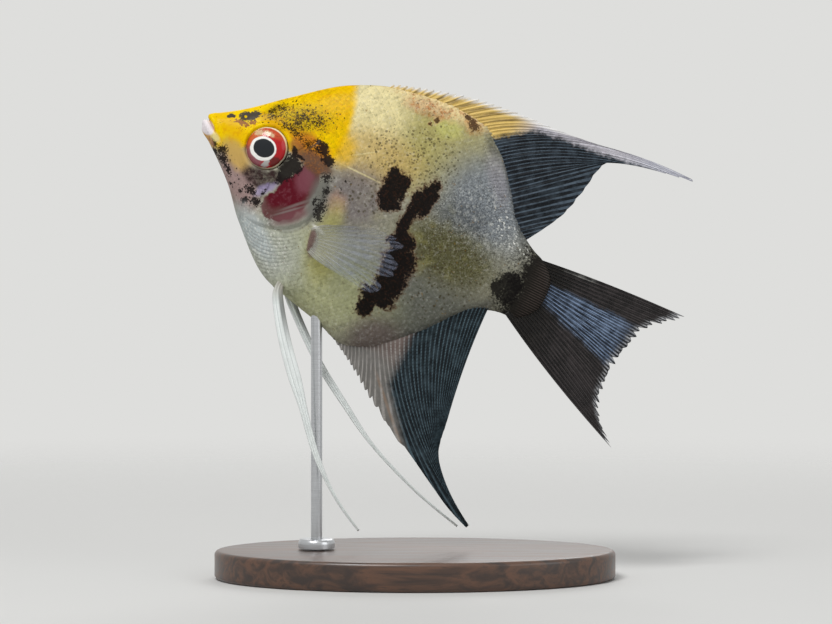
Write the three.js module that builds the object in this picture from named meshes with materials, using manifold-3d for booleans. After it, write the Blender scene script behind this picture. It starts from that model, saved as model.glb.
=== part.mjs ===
// A young freshwater angelfish, life size, swimming nose up on a plain display stand.
// Units are millimetres. The row's frame is +Z up with the nose towards -X, and its
// origin is the centre of the stand base's underside.
//
// The fish is built level in its own frame: u runs from the snout to the tail, v runs up,
// and the fish's left side faces -Y. Its group then tips and lifts it onto the rod.

import * as THREE from 'three';
import { LoftGeometry } from 'three/addons/geometries/LoftGeometry.js';
import { mergeVertices } from 'three/addons/utils/BufferGeometryUtils.js';
import Module from 'manifold-3d';

const wasm = await Module();
wasm.setup();

// ---------------------------------------------------------------- driving dimensions

const PITCH = THREE.MathUtils.degToRad(26);
const SNOUT_X = -37.4;
const SNOUT_Z = 78.8;

const STALK_START = 59.2;
const BODY_END = 64.5;
const GAP = 0.3;
const CUT_DEPTH = 30;

const EYE_U = 12.25;
const EYE_V = 1.6;
const EYE_RADIUS = 3.65;
const EYE_HALF_DEPTH = 1.95;
const EYE_CENTRE_Y = 2.95;
const EYE_YAW = THREE.MathUtils.degToRad(11);

const COVER_THICK = 1.0;
const COVER_PROUD = 0.2;

const FIN_EDGE_THICK = 0.5;
const RAY_THICK = 0.72;
const TAIL_SWAY = 1.8;

const BASE_LENGTH = 70;
const BASE_WIDTH = 44;
const BASE_HEIGHT = 5;
const BASE_BEVEL = 0.8;
const ROD_RADIUS = 1.0;
const ROD_X = -17.2;
const ROD_TOP = 48.6;
const ROD_SEAT = 2.2;
const COLLAR_RADIUS = 3.2;
const COLLAR_HEIGHT = 1.6;

// Body half width, ridge and keel along u, and the level at which the body is widest.
const HALF_WIDTH = [[0, 0.25], [0.35, 0.95], [1.5, 1.65], [5, 2.85], [12, 4.35], [22, 5.35], [31, 5.45],
  [42, 4.4], [52, 2.75], [59, 1.85], [BODY_END, 1.05]];
const RIDGE = [[0, 1.9], [0.3, 3.05], [1.8, 3.7], [5.8, 6.45], [11.7, 11.5], [20.2, 18], [28.4, 21.1],
  [38.5, 21.9], [44, 21.2], [49, 18.7], [53.7, 13.9], [57.4, 8.7], [61.8, 6.1], [BODY_END, 5.4]];
const KEEL = [[0, 1.1], [0.25, -0.2], [2.4, -1.75], [8.6, -6.9], [12.9, -11.7], [21.9, -18.9], [27, -20.2],
  [33.8, -21.7], [38.4, -22.7], [43.8, -20.4], [50, -15.3], [57.6, -7.4], [61.5, -6.2], [BODY_END, -6.3]];
const WIDEST = [[0, 1.5], [5, 0.4], [12, -1], [24, -4], [36, -2.5], [50, -0.5], [BODY_END, -0.4]];

// ---------------------------------------------------------------- curves

// A smooth function through a few [x, y] points that never overshoots between them.
function smoothThrough(points) {
  const last = points.length - 1;
  const step = points.slice(1).map((p, i) => (p[1] - points[i][1]) / (p[0] - points[i][0]));
  const slope = points.map((_, i) => {
    if (i === 0) return step[0];
    if (i === last) return step[last - 1];
    const before = step[i - 1];
    const after = step[i];
    return before * after <= 0 ? 0 : (2 * before * after) / (before + after);
  });
  return (x) => {
    const clamped = THREE.MathUtils.clamp(x, points[0][0], points[last][0]);
    let i = 0;
    while (i < last - 1 && clamped > points[i + 1][0]) i += 1;
    const width = points[i + 1][0] - points[i][0];
    const t = (clamped - points[i][0]) / width;
    const rise = t * t * (3 - 2 * t);
    const start = t * (1 - t) * (1 - t) * width * slope[i];
    const end = -t * t * (1 - t) * width * slope[i + 1];
    return points[i][1] * (1 - rise) + points[i + 1][1] * rise + start + end;
  };
}

// A smooth line through a few [u, v] points of the level frame, read from 0 to 1 by length.
function lineThrough(points) {
  const curve = new THREE.SplineCurve(points.map(([u, v]) => new THREE.Vector2(u, v)));
  return (t) => curve.getPointAt(THREE.MathUtils.clamp(t, 0, 1));
}

const halfWidth = smoothThrough(HALF_WIDTH);
const ridge = smoothThrough(RIDGE);
const keel = smoothThrough(KEEL);
const widest = smoothThrough(WIDEST);

// ---------------------------------------------------------------- solids

function toManifold(geometry) {
  const bare = new THREE.BufferGeometry().copy(geometry);
  bare.deleteAttribute('normal');
  bare.deleteAttribute('uv');
  const merged = mergeVertices(bare, 1e-4);
  const mesh = new wasm.Mesh({
    numProp: 3,
    vertProperties: new Float32Array(merged.attributes.position.array),
    triVerts: new Uint32Array(merged.index.array),
  });
  return new wasm.Manifold(mesh);
}

function toGeometry(manifold) {
  const mesh = manifold.getMesh();
  const geometry = new THREE.BufferGeometry();
  geometry.setAttribute('position', new THREE.BufferAttribute(mesh.vertProperties, 3));
  geometry.setIndex(new THREE.BufferAttribute(mesh.triVerts, 1));
  return geometry;
}

// Turns a closed geometry's faces outwards if its mapping has left them inside out.
function facingOut(geometry) {
  const p = geometry.attributes.position;
  const index = geometry.index;
  const corner = (i) => new THREE.Vector3().fromBufferAttribute(p, index.getX(i));
  let volume = 0;
  for (let i = 0; i < index.count; i += 3) {
    volume += corner(i).dot(corner(i + 1).cross(corner(i + 2)));
  }
  if (volume > 0) return geometry;
  for (let i = 0; i < index.count; i += 3) {
    const swap = index.getX(i);
    index.setX(i, index.getX(i + 1));
    index.setX(i + 1, swap);
  }
  return geometry;
}

// One ring of the body: lens shaped, fullest at the widest level, sharp at ridge and keel.
function bodyRing(u, grow) {
  const count = 22;
  const width = Math.max(halfWidth(u) + grow, 0.1);
  const middle = widest(u);
  const above = Math.max(ridge(u) + grow - middle, 0.1);
  const below = Math.max(middle - keel(u) + grow, 0.1);
  const sharpness = THREE.MathUtils.lerp(1.0, 1.35, THREE.MathUtils.smoothstep(u, 2, 16));
  const spread = grow * ((2 * u) / BODY_END - 1);
  return Array.from({ length: count }, (_, i) => {
    const angle = (i / count) * Math.PI * 2;
    const side = Math.cos(angle);
    const lift = Math.sin(angle);
    const y = Math.sign(side) * Math.abs(side) ** sharpness * width;
    return new THREE.Vector3(u + spread, y, middle + lift * (lift > 0 ? above : below));
  });
}

// The whole body without fins, grown outwards (or shrunk) by a given amount.
function bodySolid(grow = 0) {
  const stations = [0, 0.15, 0.5, 1.2, 2.5];
  for (let u = 4.4; u < BODY_END - 1; u += 2.5) stations.push(u);
  stations.push(BODY_END);
  const rings = stations.map((u) => bodyRing(u, grow));
  return toManifold(facingOut(new LoftGeometry(rings, { capStart: true, capEnd: true })));
}

// A slab across the whole body whose outline lies in the u-v plane.
function slab(outline, { from = -CUT_DEPTH, to = CUT_DEPTH } = {}) {
  const shape = new THREE.Shape(outline);
  const geometry = new THREE.ExtrudeGeometry(shape, { depth: to - from, bevelEnabled: false, steps: 1 });
  geometry.rotateX(Math.PI / 2);
  geometry.translate(0, to, 0);
  return toManifold(geometry);
}

const at = (u, v) => new THREE.Vector2(u, v);

// Points along a line through a few level-frame points, each moved sideways by an offset.
function offsetLine(line, offset, count = 14) {
  return Array.from({ length: count + 1 }, (_, i) => {
    const t = i / count;
    const along = line(Math.min(t + 0.01, 1)).sub(line(Math.max(t - 0.01, 0))).normalize();
    return line(t).add(at(-along.y, along.x).multiplyScalar(offset));
  });
}

// ---------------------------------------------------------------- body pieces

// The hind edge of the head: down behind the nape, round the gill cover, out at the throat.
const headEdge = lineThrough([[20.6, 26], [20.5, 14], [20.8, 6.5], [23.6, 3.2], [25.3, -1.6], [24.2, -7],
  [20.5, -9.9], [15, -10.9], [8, -9.4]]);
// The front edge of the gill cover, along the cheek.
const cheekEdge = lineThrough([[26, 13], [20.6, 8], [18.2, 3.4], [16, -0.8], [14.5, -5], [13.2, -8.6], [12.6, -14]]);
// The mouth slit between the lips, and the hind edges of the lower jaw and the upper lip.
const mouthSlit = lineThrough([[-2, 2.2], [0.6, 1.5], [2.4, 0.2], [4.3, -0.1], [8, -0.3]]);
const jawEdge = lineThrough([[4.2, 4], [4.3, -0.1], [4.9, -1.8], [4.6, -7]]);
const lipEdge = lineThrough([[2.0, 7], [3.3, 1.6], [4.3, -0.1], [4.9, -4]]);

const FAR = 40;

// Everything on the snout's side of a line that runs downwards, and everything behind it.
function aheadOf(line, offset) {
  return slab([...offsetLine(line, -offset), at(-FAR, -FAR), at(-FAR, FAR)]);
}

function behind(line, offset, reach) {
  const foot = line(1).x + offset;
  return slab([...offsetLine(line, offset), at(foot, -FAR), at(FAR * 2, -FAR), at(FAR * 2, FAR)], reach);
}

function underMouth(offset) {
  return slab([...offsetLine(mouthSlit, -offset), at(12, -12), at(-12, -12)]);
}

function overMouth(offset) {
  return slab([...offsetLine(mouthSlit, offset), at(12, 12), at(-12, 12)]);
}

const body = bodySolid();
const halfGap = GAP / 2;

function makeHead() {
  const pocket = behind(cheekEdge, -GAP).subtract(bodySolid(-COVER_THICK - GAP));
  const upper = overMouth(-halfGap).intersect(aheadOf(lipEdge, -halfGap));
  const lower = underMouth(-halfGap).intersect(aheadOf(jawEdge, -halfGap));
  const sockets = [-1, 1].map((side) => toManifold(eyeGeometry(side, GAP)));
  return [pocket, upper, lower, ...sockets].reduce(
    (rest, cutter) => rest.subtract(cutter),
    body.intersect(aheadOf(headEdge, halfGap)),
  );
}

function makeLowerJaw() {
  return body.intersect(underMouth(halfGap)).intersect(aheadOf(jawEdge, halfGap));
}

function makeUpperLip() {
  return body.intersect(overMouth(halfGap)).intersect(aheadOf(lipEdge, halfGap));
}

function makeGillCover(side) {
  const reach = side < 0 ? { from: -CUT_DEPTH, to: 0 } : { from: 0, to: CUT_DEPTH };
  const plate = bodySolid(COVER_PROUD).subtract(bodySolid(-COVER_THICK));
  return plate.intersect(behind(cheekEdge, 0, reach)).intersect(aheadOf(headEdge, halfGap));
}

function makeTrunk() {
  const end = slab([at(STALK_START - halfGap, -FAR), at(STALK_START - halfGap, FAR), at(0, FAR), at(0, -FAR)]);
  return body.intersect(behind(headEdge, halfGap)).intersect(end);
}

function makeTailStalk() {
  const start = STALK_START + halfGap;
  return body.intersect(slab([at(start, -FAR), at(FAR * 2, -FAR), at(FAR * 2, FAR), at(start, FAR)]));
}

function eyeGeometry(side, grow = 0) {
  const geometry = new THREE.SphereGeometry(1, 18, 10);
  geometry.rotateX(Math.PI / 2);
  geometry.scale(EYE_RADIUS + grow, EYE_HALF_DEPTH + grow, EYE_RADIUS + grow);
  geometry.rotateZ(side * EYE_YAW);
  geometry.translate(EYE_U, side * EYE_CENTRE_Y, EYE_V);
  return facingOut(geometry);
}

// ---------------------------------------------------------------- fins

// A fin as a thin plate: place(a, t) gives its middle surface, with a across the rays and
// t out along them. Even columns are rays, odd ones the thinner membrane between them.
function finGeometry({ rays, rows, place, rootThick, notch = () => 0 }) {
  const columns = rays * 2;
  const geometry = new THREE.BoxGeometry(1, 1, 1, columns, rows, 1);
  const p = geometry.attributes.position;
  for (let i = 0; i < p.count; i += 1) {
    const column = Math.round((p.getX(i) + 0.5) * columns);
    const a = column / columns;
    const isRay = column % 2 === 0;
    const reach = isRay ? 1 : 1 - notch(a);
    const t = (p.getY(i) + 0.5) * reach;
    const spot = place(a, t);
    const rim = isRay ? RAY_THICK : FIN_EDGE_THICK;
    const thick = THREE.MathUtils.lerp(rootThick, THREE.MathUtils.lerp(rim, FIN_EDGE_THICK, t), Math.min(1, t * 3));
    p.setXYZ(i, spot.x, spot.y + p.getZ(i) * thick, spot.z);
  }
  return facingOut(geometry);
}

// A point on a fin ray that leaves its root at one angle and bends over to its tip.
function rayPoint(root, tip, rise, t) {
  const lift = root.distanceTo(tip) * 0.45;
  const bend = at(root.x + Math.cos(rise) * lift, root.y + Math.sin(rise) * lift);
  const spot = new THREE.QuadraticBezierCurve(root, bend, tip).getPoint(t);
  return spot;
}

const deg = THREE.MathUtils.degToRad;

// Even spacing along a fin's margin up to its filament, then down its hind edge.
function marginPoint(leading, trailing, a, filamentAt, share) {
  return a <= filamentAt ? leading(share(a / filamentAt)) : trailing((a - filamentAt) / (1 - filamentAt));
}

// How far the tips of tail, dorsal and anal fins are swept sideways, growing along the fish.
function sway(u, v) {
  const aft = Math.max(0, u - 52) / 38;
  return TAIL_SWAY * aft * aft + Math.max(0, -v - 30) * 0.03;
}

const dorsalRoot = (a) => {
  const u = THREE.MathUtils.lerp(25.4, 59.0, a ** 0.92);
  return at(u, ridge(u) - 1.4);
};
const dorsalLeading = lineThrough([[25.9, 21.2], [34.7, 24.1], [41.7, 25.8], [49.1, 26.6], [58.4, 27.1], [70.4, 28.5],
  [83, 29.7]]);
const dorsalTrailing = lineThrough([[82.8, 29.1], [75, 28.1], [68.2, 26.9], [66, 24.2], [65.3, 20.5], [63.6, 13.9],
  [60, 7.6]]);

function dorsalFin() {
  return finGeometry({
    rays: 22,
    rows: 5,
    rootThick: 1.5,
    notch: (a) => (a < 0.5 ? 0.16 - 0.16 * a : 0.03),
    place: (a, t) => {
      const tip = marginPoint(dorsalLeading, dorsalTrailing, a, 14 / 22, (s) => s ** 1.5);
      const rise = deg(THREE.MathUtils.lerp(58, 44, a));
      const spot = rayPoint(dorsalRoot(a), tip, rise, t);
      return new THREE.Vector3(spot.x, sway(spot.x, spot.y), spot.y);
    },
  });
}

const analRoot = (a) => {
  const u = THREE.MathUtils.lerp(36.6, 59.0, a);
  return at(u, keel(u) + 1.4);
};
const analLeading = lineThrough([[36.9, -23.2], [40.7, -25.3], [47.6, -30.1], [53.2, -33.4], [60.7, -37.1],
  [67.9, -41], [73.5, -43.2]]);
const analTrailing = lineThrough([[73.8, -42.7], [68.6, -39.7], [65, -37.2], [62.4, -33.4], [61.3, -28], [60.7, -21.6],
  [59.6, -14.3], [59.3, -7.5]]);

function analFin() {
  return finGeometry({
    rays: 20,
    rows: 5,
    rootThick: 1.5,
    notch: (a) => (a < 0.36 ? 0.14 : 0.025),
    place: (a, t) => {
      const tip = marginPoint(analLeading, analTrailing, a, 9 / 20, (s) => s ** 1.35);
      const rise = deg(THREE.MathUtils.lerp(-62, -52, a));
      const spot = rayPoint(analRoot(a), tip, rise, t);
      return new THREE.Vector3(spot.x, sway(spot.x, spot.y), spot.y);
    },
  });
}

const tailUpper = [91.6, 7.4];
const tailLower = [89.6, -19.1];
const tailMargin = lineThrough([tailUpper, [88.2, 5], [85.6, 2], [84.2, -2.3], [83.4, -7], [83.7, -12], [85.6, -15.6],
  tailLower]);

function tailFin() {
  return finGeometry({
    rays: 16,
    rows: 4,
    rootThick: 1.5,
    notch: () => 0.03,
    place: (a, t) => {
      const root = at(63.6 - 1.6 * (2 * a - 1) ** 2, THREE.MathUtils.lerp(5.0, -6.0, a));
      const rise = deg(THREE.MathUtils.lerp(8, -30, a));
      const spot = rayPoint(root, tailMargin(a), rise, t);
      return new THREE.Vector3(spot.x, sway(spot.x, spot.y), spot.y);
    },
  });
}

const pectoralTip = lineThrough([[31.5, -4.6], [35.2, -2.8], [39, -2.5], [42, -3.3], [42.8, -7], [41.8, -11],
  [39.8, -13.3], [37.4, -13.1], [32.5, -12.4]]);

function pectoralFin(side) {
  return finGeometry({
    rays: 10,
    rows: 3,
    rootThick: 1.2,
    notch: () => 0.05,
    place: (a, t) => {
      const root = at(THREE.MathUtils.lerp(25.4, 26.2, a), THREE.MathUtils.lerp(-7.4, -11.2, a));
      const spot = root.clone().lerp(pectoralTip(a), t);
      const stand = 5.2 + 3.2 * Math.sin(t * 1.5);
      return new THREE.Vector3(spot.x, side * stand, spot.y);
    },
  });
}

// A ventral fin: a long feeler, blade-like near the body and a thread at its end.
function ventralFin(line, blade) {
  return finGeometry({
    rays: 1,
    rows: 20,
    rootThick: 1.1,
    place: (a, t) => {
      const spot = line.getPoint(t);
      const along = line.getTangent(t);
      const width = blade(t);
      return new THREE.Vector3(spot.x - along.z * (a - 0.5) * width, spot.y, spot.z + along.x * (a - 0.5) * width);
    },
  });
}

const leftVentral = new THREE.CatmullRomCurve3([[24.6, -1.7, -17.8], [25.2, -2.1, -20.8], [29.8, -2.9, -27.2],
  [36.6, -3.3, -34.9], [43.3, -3.4, -42.5], [49.5, -3.3, -47.6], [55.6, -3.2, -51.0]].map((p) => new THREE.Vector3(...p)));
const rightVentral = new THREE.CatmullRomCurve3([[25.6, 1.7, -17.8], [27.6, 2.1, -20.7], [35.8, 2.9, -27.6],
  [43.6, 3.3, -32.6], [51.5, 3.4, -37.1], [61.5, 3.4, -40.9], [71.0, 3.3, -43.3]].map((p) => new THREE.Vector3(...p)));
const leftBlade = smoothThrough([[0, 2.2], [0.36, 2.2], [0.5, 1.4], [0.68, 1.1], [0.8, 0.62], [1, 0.52]]);
const rightBlade = smoothThrough([[0, 1.9], [0.1, 1.5], [0.35, 1.3], [0.5, 1.0], [0.64, 0.6], [1, 0.52]]);

// ---------------------------------------------------------------- stand

function standBase() {
  const oval = new THREE.Shape();
  oval.absellipse(0, 0, BASE_LENGTH / 2 - BASE_BEVEL, BASE_WIDTH / 2 - BASE_BEVEL, 0, Math.PI * 2);
  const geometry = new THREE.ExtrudeGeometry(oval, {
    depth: BASE_HEIGHT - 2 * BASE_BEVEL,
    bevelThickness: BASE_BEVEL,
    bevelSize: BASE_BEVEL,
    bevelSegments: 1,
    curveSegments: 24,
  });
  geometry.translate(0, 0, BASE_BEVEL);
  return toManifold(geometry);
}

// The upright rod, let into the base and into the belly, or with a margin the bore for it.
function rodSolid(margin) {
  const foot = BASE_HEIGHT - ROD_SEAT - margin;
  const length = ROD_TOP + margin - foot;
  const geometry = new THREE.CylinderGeometry(ROD_RADIUS + margin, ROD_RADIUS + margin, length, 18);
  geometry.rotateX(Math.PI / 2);
  geometry.translate(ROD_X, 0, foot + length / 2);
  return toManifold(geometry);
}

function standCollar() {
  const geometry = new THREE.CylinderGeometry(COLLAR_RADIUS * 0.82, COLLAR_RADIUS, COLLAR_HEIGHT, 24);
  geometry.rotateX(Math.PI / 2);
  geometry.translate(ROD_X, 0, BASE_HEIGHT + GAP + COLLAR_HEIGHT / 2);
  return toManifold(geometry);
}

// ---------------------------------------------------------------- assembly

const FLESH = {
  head: new THREE.MeshStandardMaterial({ color: 0xd9a21c, roughness: 0.42 }),
  gill: new THREE.MeshStandardMaterial({ color: 0x8c3f4c, roughness: 0.35 }),
  trunk: new THREE.MeshStandardMaterial({ color: 0xd8d6bc, roughness: 0.4 }),
  fin: new THREE.MeshStandardMaterial({ color: 0x4a5260, roughness: 0.45 }),
  feeler: new THREE.MeshStandardMaterial({ color: 0xdedfe2, roughness: 0.45 }),
};
const EYE = new THREE.MeshStandardMaterial({ color: 0x9c2a1e, roughness: 0.12 });
const WOOD = new THREE.MeshStandardMaterial({ color: 0x2a1d16, roughness: 0.4 });
const STEEL = new THREE.MeshStandardMaterial({ color: 0xb9bcc0, roughness: 0.28, metalness: 1 });

function addNode(parent, name, manifold, material) {
  const mesh = new THREE.Mesh(toGeometry(manifold), material);
  mesh.name = name;
  parent.add(mesh);
}

const group = new THREE.Group();
const fish = new THREE.Group();
fish.rotation.y = PITCH;
fish.position.set(SNOUT_X, 0, SNOUT_Z);
group.add(fish);
fish.updateMatrixWorld(true);

const rodBore = rodSolid(GAP);
const boreInFish = rodBore.transform(fish.matrixWorld.clone().invert().toArray());
const clearance = bodySolid(GAP);
const clearOfBody = (geometry) => toManifold(geometry).subtract(clearance);

addNode(fish, 'head', makeHead(), FLESH.head);
addNode(fish, 'upper_lip', makeUpperLip(), FLESH.head);
addNode(fish, 'lower_jaw', makeLowerJaw(), FLESH.head);
addNode(fish, 'trunk', makeTrunk().subtract(boreInFish), FLESH.trunk);
addNode(fish, 'tail_stalk', makeTailStalk(), FLESH.trunk);
addNode(fish, 'dorsal_fin', clearOfBody(dorsalFin()), FLESH.fin);
addNode(fish, 'anal_fin', clearOfBody(analFin()), FLESH.fin);
addNode(fish, 'tail_fin', clearOfBody(tailFin()), FLESH.fin);
for (const [name, side] of [['left', -1], ['right', 1]]) {
  addNode(fish, `gill_cover_${name}`, makeGillCover(side), FLESH.gill);
  addNode(fish, `eye_${name}`, toManifold(eyeGeometry(side)), EYE);
  addNode(fish, `pectoral_fin_${name}`, clearOfBody(pectoralFin(side)), FLESH.fin);
}
addNode(fish, 'ventral_fin_left', clearOfBody(ventralFin(leftVentral, leftBlade)), FLESH.feeler);
addNode(fish, 'ventral_fin_right', clearOfBody(ventralFin(rightVentral, rightBlade)), FLESH.feeler);

addNode(group, 'stand_base', standBase().subtract(rodBore), WOOD);
addNode(group, 'stand_collar', standCollar().subtract(rodBore), STEEL);
addNode(group, 'stand_rod', rodSolid(0), STEEL);

export default group;
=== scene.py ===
"""A young freshwater angelfish, life size, as a still display model on a rod and base.

The fish is shaped level, in millimetres, in a frame of its own: u runs from the snout to the
tail, v runs up, and y runs towards the fish's right side, so its left side has y below zero.
FishFrame turns it nose up and sets it where the frame's own nodes stand.
"""

import logging
import math
from dataclasses import dataclass
from enum import Enum
from functools import cached_property, reduce
from typing import Any, Callable, Mapping, Optional, Sequence, Union

import bmesh
import bpy
import numpy as np
from mathutils import Matrix, Vector


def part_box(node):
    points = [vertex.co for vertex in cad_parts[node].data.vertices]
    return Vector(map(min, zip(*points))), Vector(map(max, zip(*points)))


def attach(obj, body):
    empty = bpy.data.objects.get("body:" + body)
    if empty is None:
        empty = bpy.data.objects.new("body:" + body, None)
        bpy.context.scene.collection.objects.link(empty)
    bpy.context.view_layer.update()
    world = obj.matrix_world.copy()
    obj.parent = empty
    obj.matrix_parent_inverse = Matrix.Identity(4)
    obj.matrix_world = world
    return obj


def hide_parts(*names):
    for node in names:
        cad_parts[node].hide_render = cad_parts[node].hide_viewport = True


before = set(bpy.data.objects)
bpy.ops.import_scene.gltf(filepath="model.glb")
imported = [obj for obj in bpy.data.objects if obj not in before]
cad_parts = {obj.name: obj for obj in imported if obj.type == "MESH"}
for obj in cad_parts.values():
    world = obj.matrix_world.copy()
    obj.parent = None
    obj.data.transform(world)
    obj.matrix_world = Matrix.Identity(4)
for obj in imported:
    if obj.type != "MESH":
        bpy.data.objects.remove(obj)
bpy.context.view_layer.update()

LOG = logging.getLogger("angelfish")

Mesh = bpy.types.Mesh
Material = bpy.types.Material
Socket = bpy.types.NodeSocket
Piece = bpy.types.Object
Array = np.ndarray
Bend = Callable[[Array], Array]
Colour = tuple[float, float, float, float]
Points = tuple[tuple[float, ...], ...]

MM = 0.001
PITCH = math.radians(26)
BODY_END = 64.5
SKIN_END = 67.2


class Side(Enum):
    """The two sides of the fish, with the sign of y on each."""

    LEFT = -1
    RIGHT = 1

    @property
    def word(self) -> str:
        """The side's name as the nodes spell it."""
        return self.name.lower()


# ---- curves


@dataclass(frozen=True)
class Curve:
    """A smooth function through a few (x, y) points that never overshoots between them."""

    points: Points

    def __call__(self, x: Any) -> Array:
        """Reads the curve.

        Args:
            x: One place, or an array of places, along the curve.

        Returns:
            The curve's height at each place, level past either end.
        """
        xs, ys = np.array(self.points, float).T
        step = np.diff(ys) / np.diff(xs)
        before, after = step[:-1], step[1:]
        total = np.where(before + after == 0, 1, before + after)
        bends = np.where(before * after > 0, 2 * before * after / total, 0)
        slope = np.concatenate([step[:1], bends, step[-1:]])
        x = np.clip(x, xs[0], xs[-1])
        i = np.clip(np.searchsorted(xs, x, side="right") - 1, 0, len(xs) - 2)
        width = xs[i + 1] - xs[i]
        t = (x - xs[i]) / width
        rise = t * t * (3 - 2 * t)
        start = t * (1 - t) ** 2 * width * slope[i]
        end = -t * t * (1 - t) * width * slope[i + 1]
        return ys[i] * (1 - rise) + ys[i + 1] * rise + start + end


@dataclass(frozen=True)
class Line:
    """A smooth line through a few points, read from 0 to 1 by its length."""

    points: Points
    steps: int = 24

    @cached_property
    def spots(self) -> Array:
        """Closely spaced points along the line."""
        p = np.array(self.points, float)
        p0 = np.vstack([p[:1], p[:-2]])
        p1 = p[:-1]
        p2 = p[1:]
        p3 = np.vstack([p[2:], p[-1:]])
        t = (np.arange(self.steps) / self.steps)[:, None, None]
        curve = 0.5 * (
            2 * p1
            + (p2 - p0) * t
            + (2 * p0 - 5 * p1 + 4 * p2 - p3) * t**2
            + (3 * p1 - p0 - 3 * p2 + p3) * t**3
        )
        return np.vstack([curve.transpose(1, 0, 2).reshape(-1, p.shape[1]), p[-1:]])

    @cached_property
    def shares(self) -> Array:
        """How far along the line each of the spots lies, from 0 to 1."""
        lengths = np.linalg.norm(np.diff(self.spots, axis=0), axis=1)
        along = np.concatenate([[0], np.cumsum(lengths)])
        return along / along[-1]

    def at(self, share: Any) -> Array:
        """Points on the line.

        Args:
            share: One share of the line's length, or an array of them.

        Returns:
            An array with one more axis than share, holding the coordinates.
        """
        share = np.clip(share, 0, 1)
        columns = [np.interp(share, self.shares, column) for column in self.spots.T]
        return np.stack(columns, axis=-1)

    def near(self, u: Array, v: Array) -> tuple[Array, Array]:
        """How far places lie from the line.

        Args:
            u: The places' first coordinate.
            v: The places' second coordinate.

        Returns:
            The distance, above zero on the left of the line's way, and the share of the
            line's length at which the nearest spot lies.
        """
        best = np.full(np.shape(u), np.inf)
        signed = np.zeros(np.shape(u))
        share = np.zeros(np.shape(u))
        for i, (start, end) in enumerate(zip(self.spots[:-1], self.spots[1:])):
            du, dv = end - start
            t = np.clip(((u - start[0]) * du + (v - start[1]) * dv) / (du * du + dv * dv), 0, 1)
            off_u = u - start[0] - t * du
            off_v = v - start[1] - t * dv
            distance = np.hypot(off_u, off_v)
            closer = distance < best
            best = np.where(closer, distance, best)
            side = np.where(du * off_v - dv * off_u >= 0, 1, -1)
            signed = np.where(closer, side * distance, signed)
            here = self.shares[i] + t * (self.shares[i + 1] - self.shares[i])
            share = np.where(closer, here, share)
        return signed, share


def smooth(x: Any, low: float, high: float) -> Array:
    """Rises smoothly from 0 at low to 1 at high, or falls if high is the lesser."""
    t = np.clip((np.asarray(x, float) - low) / (high - low), 0, 1)
    return t * t * (3 - 2 * t)


def bell(distance: Array, width: float) -> Array:
    """A bell over distance, 1 at zero, that falls to a third at the given width."""
    return np.exp(-((distance / width) ** 2))


def blend(low: Any, high: Any, share: Any) -> Any:
    """The value a share of the way from low to high."""
    return low + (high - low) * share


def inner(share: Array, risen: float, falls: float, start: float = 0) -> Array:
    """Fades the ends of a line: rises from start to risen and falls from falls to the end at 1."""
    return smooth(share, start, risen) * smooth(share, 1, falls)


# ---- where the fish stands


@dataclass(frozen=True)
class FishFrame:
    """Where the level fish frame lies in the row's frame, in metres."""

    snout: Vector

    @classmethod
    def from_eyes(cls, eye_u: float, eye_v: float) -> "FishFrame":
        """Finds the frame from the middle of the two eyes.

        Args:
            eye_u: How far behind the snout the eyes lie, in millimetres.
            eye_v: How far above it they lie.

        Returns:
            The fish frame.
        """
        low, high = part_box("eye_left")
        middle = (low + high) / 2
        middle.y = 0
        return cls(snout=middle - cls.turn() @ Vector((eye_u, 0, eye_v)) * MM)

    @staticmethod
    def turn() -> Matrix:
        """The turn that lifts the nose."""
        return Matrix.Rotation(PITCH, 3, "Y")

    def to_row(self, spots: Array) -> Array:
        """Takes rows of level (u, y, v) millimetres to rows of the row's (x, y, z) metres."""
        return spots @ np.array(self.turn()).T * MM + np.array(self.snout)


# ---- the body's form


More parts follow.
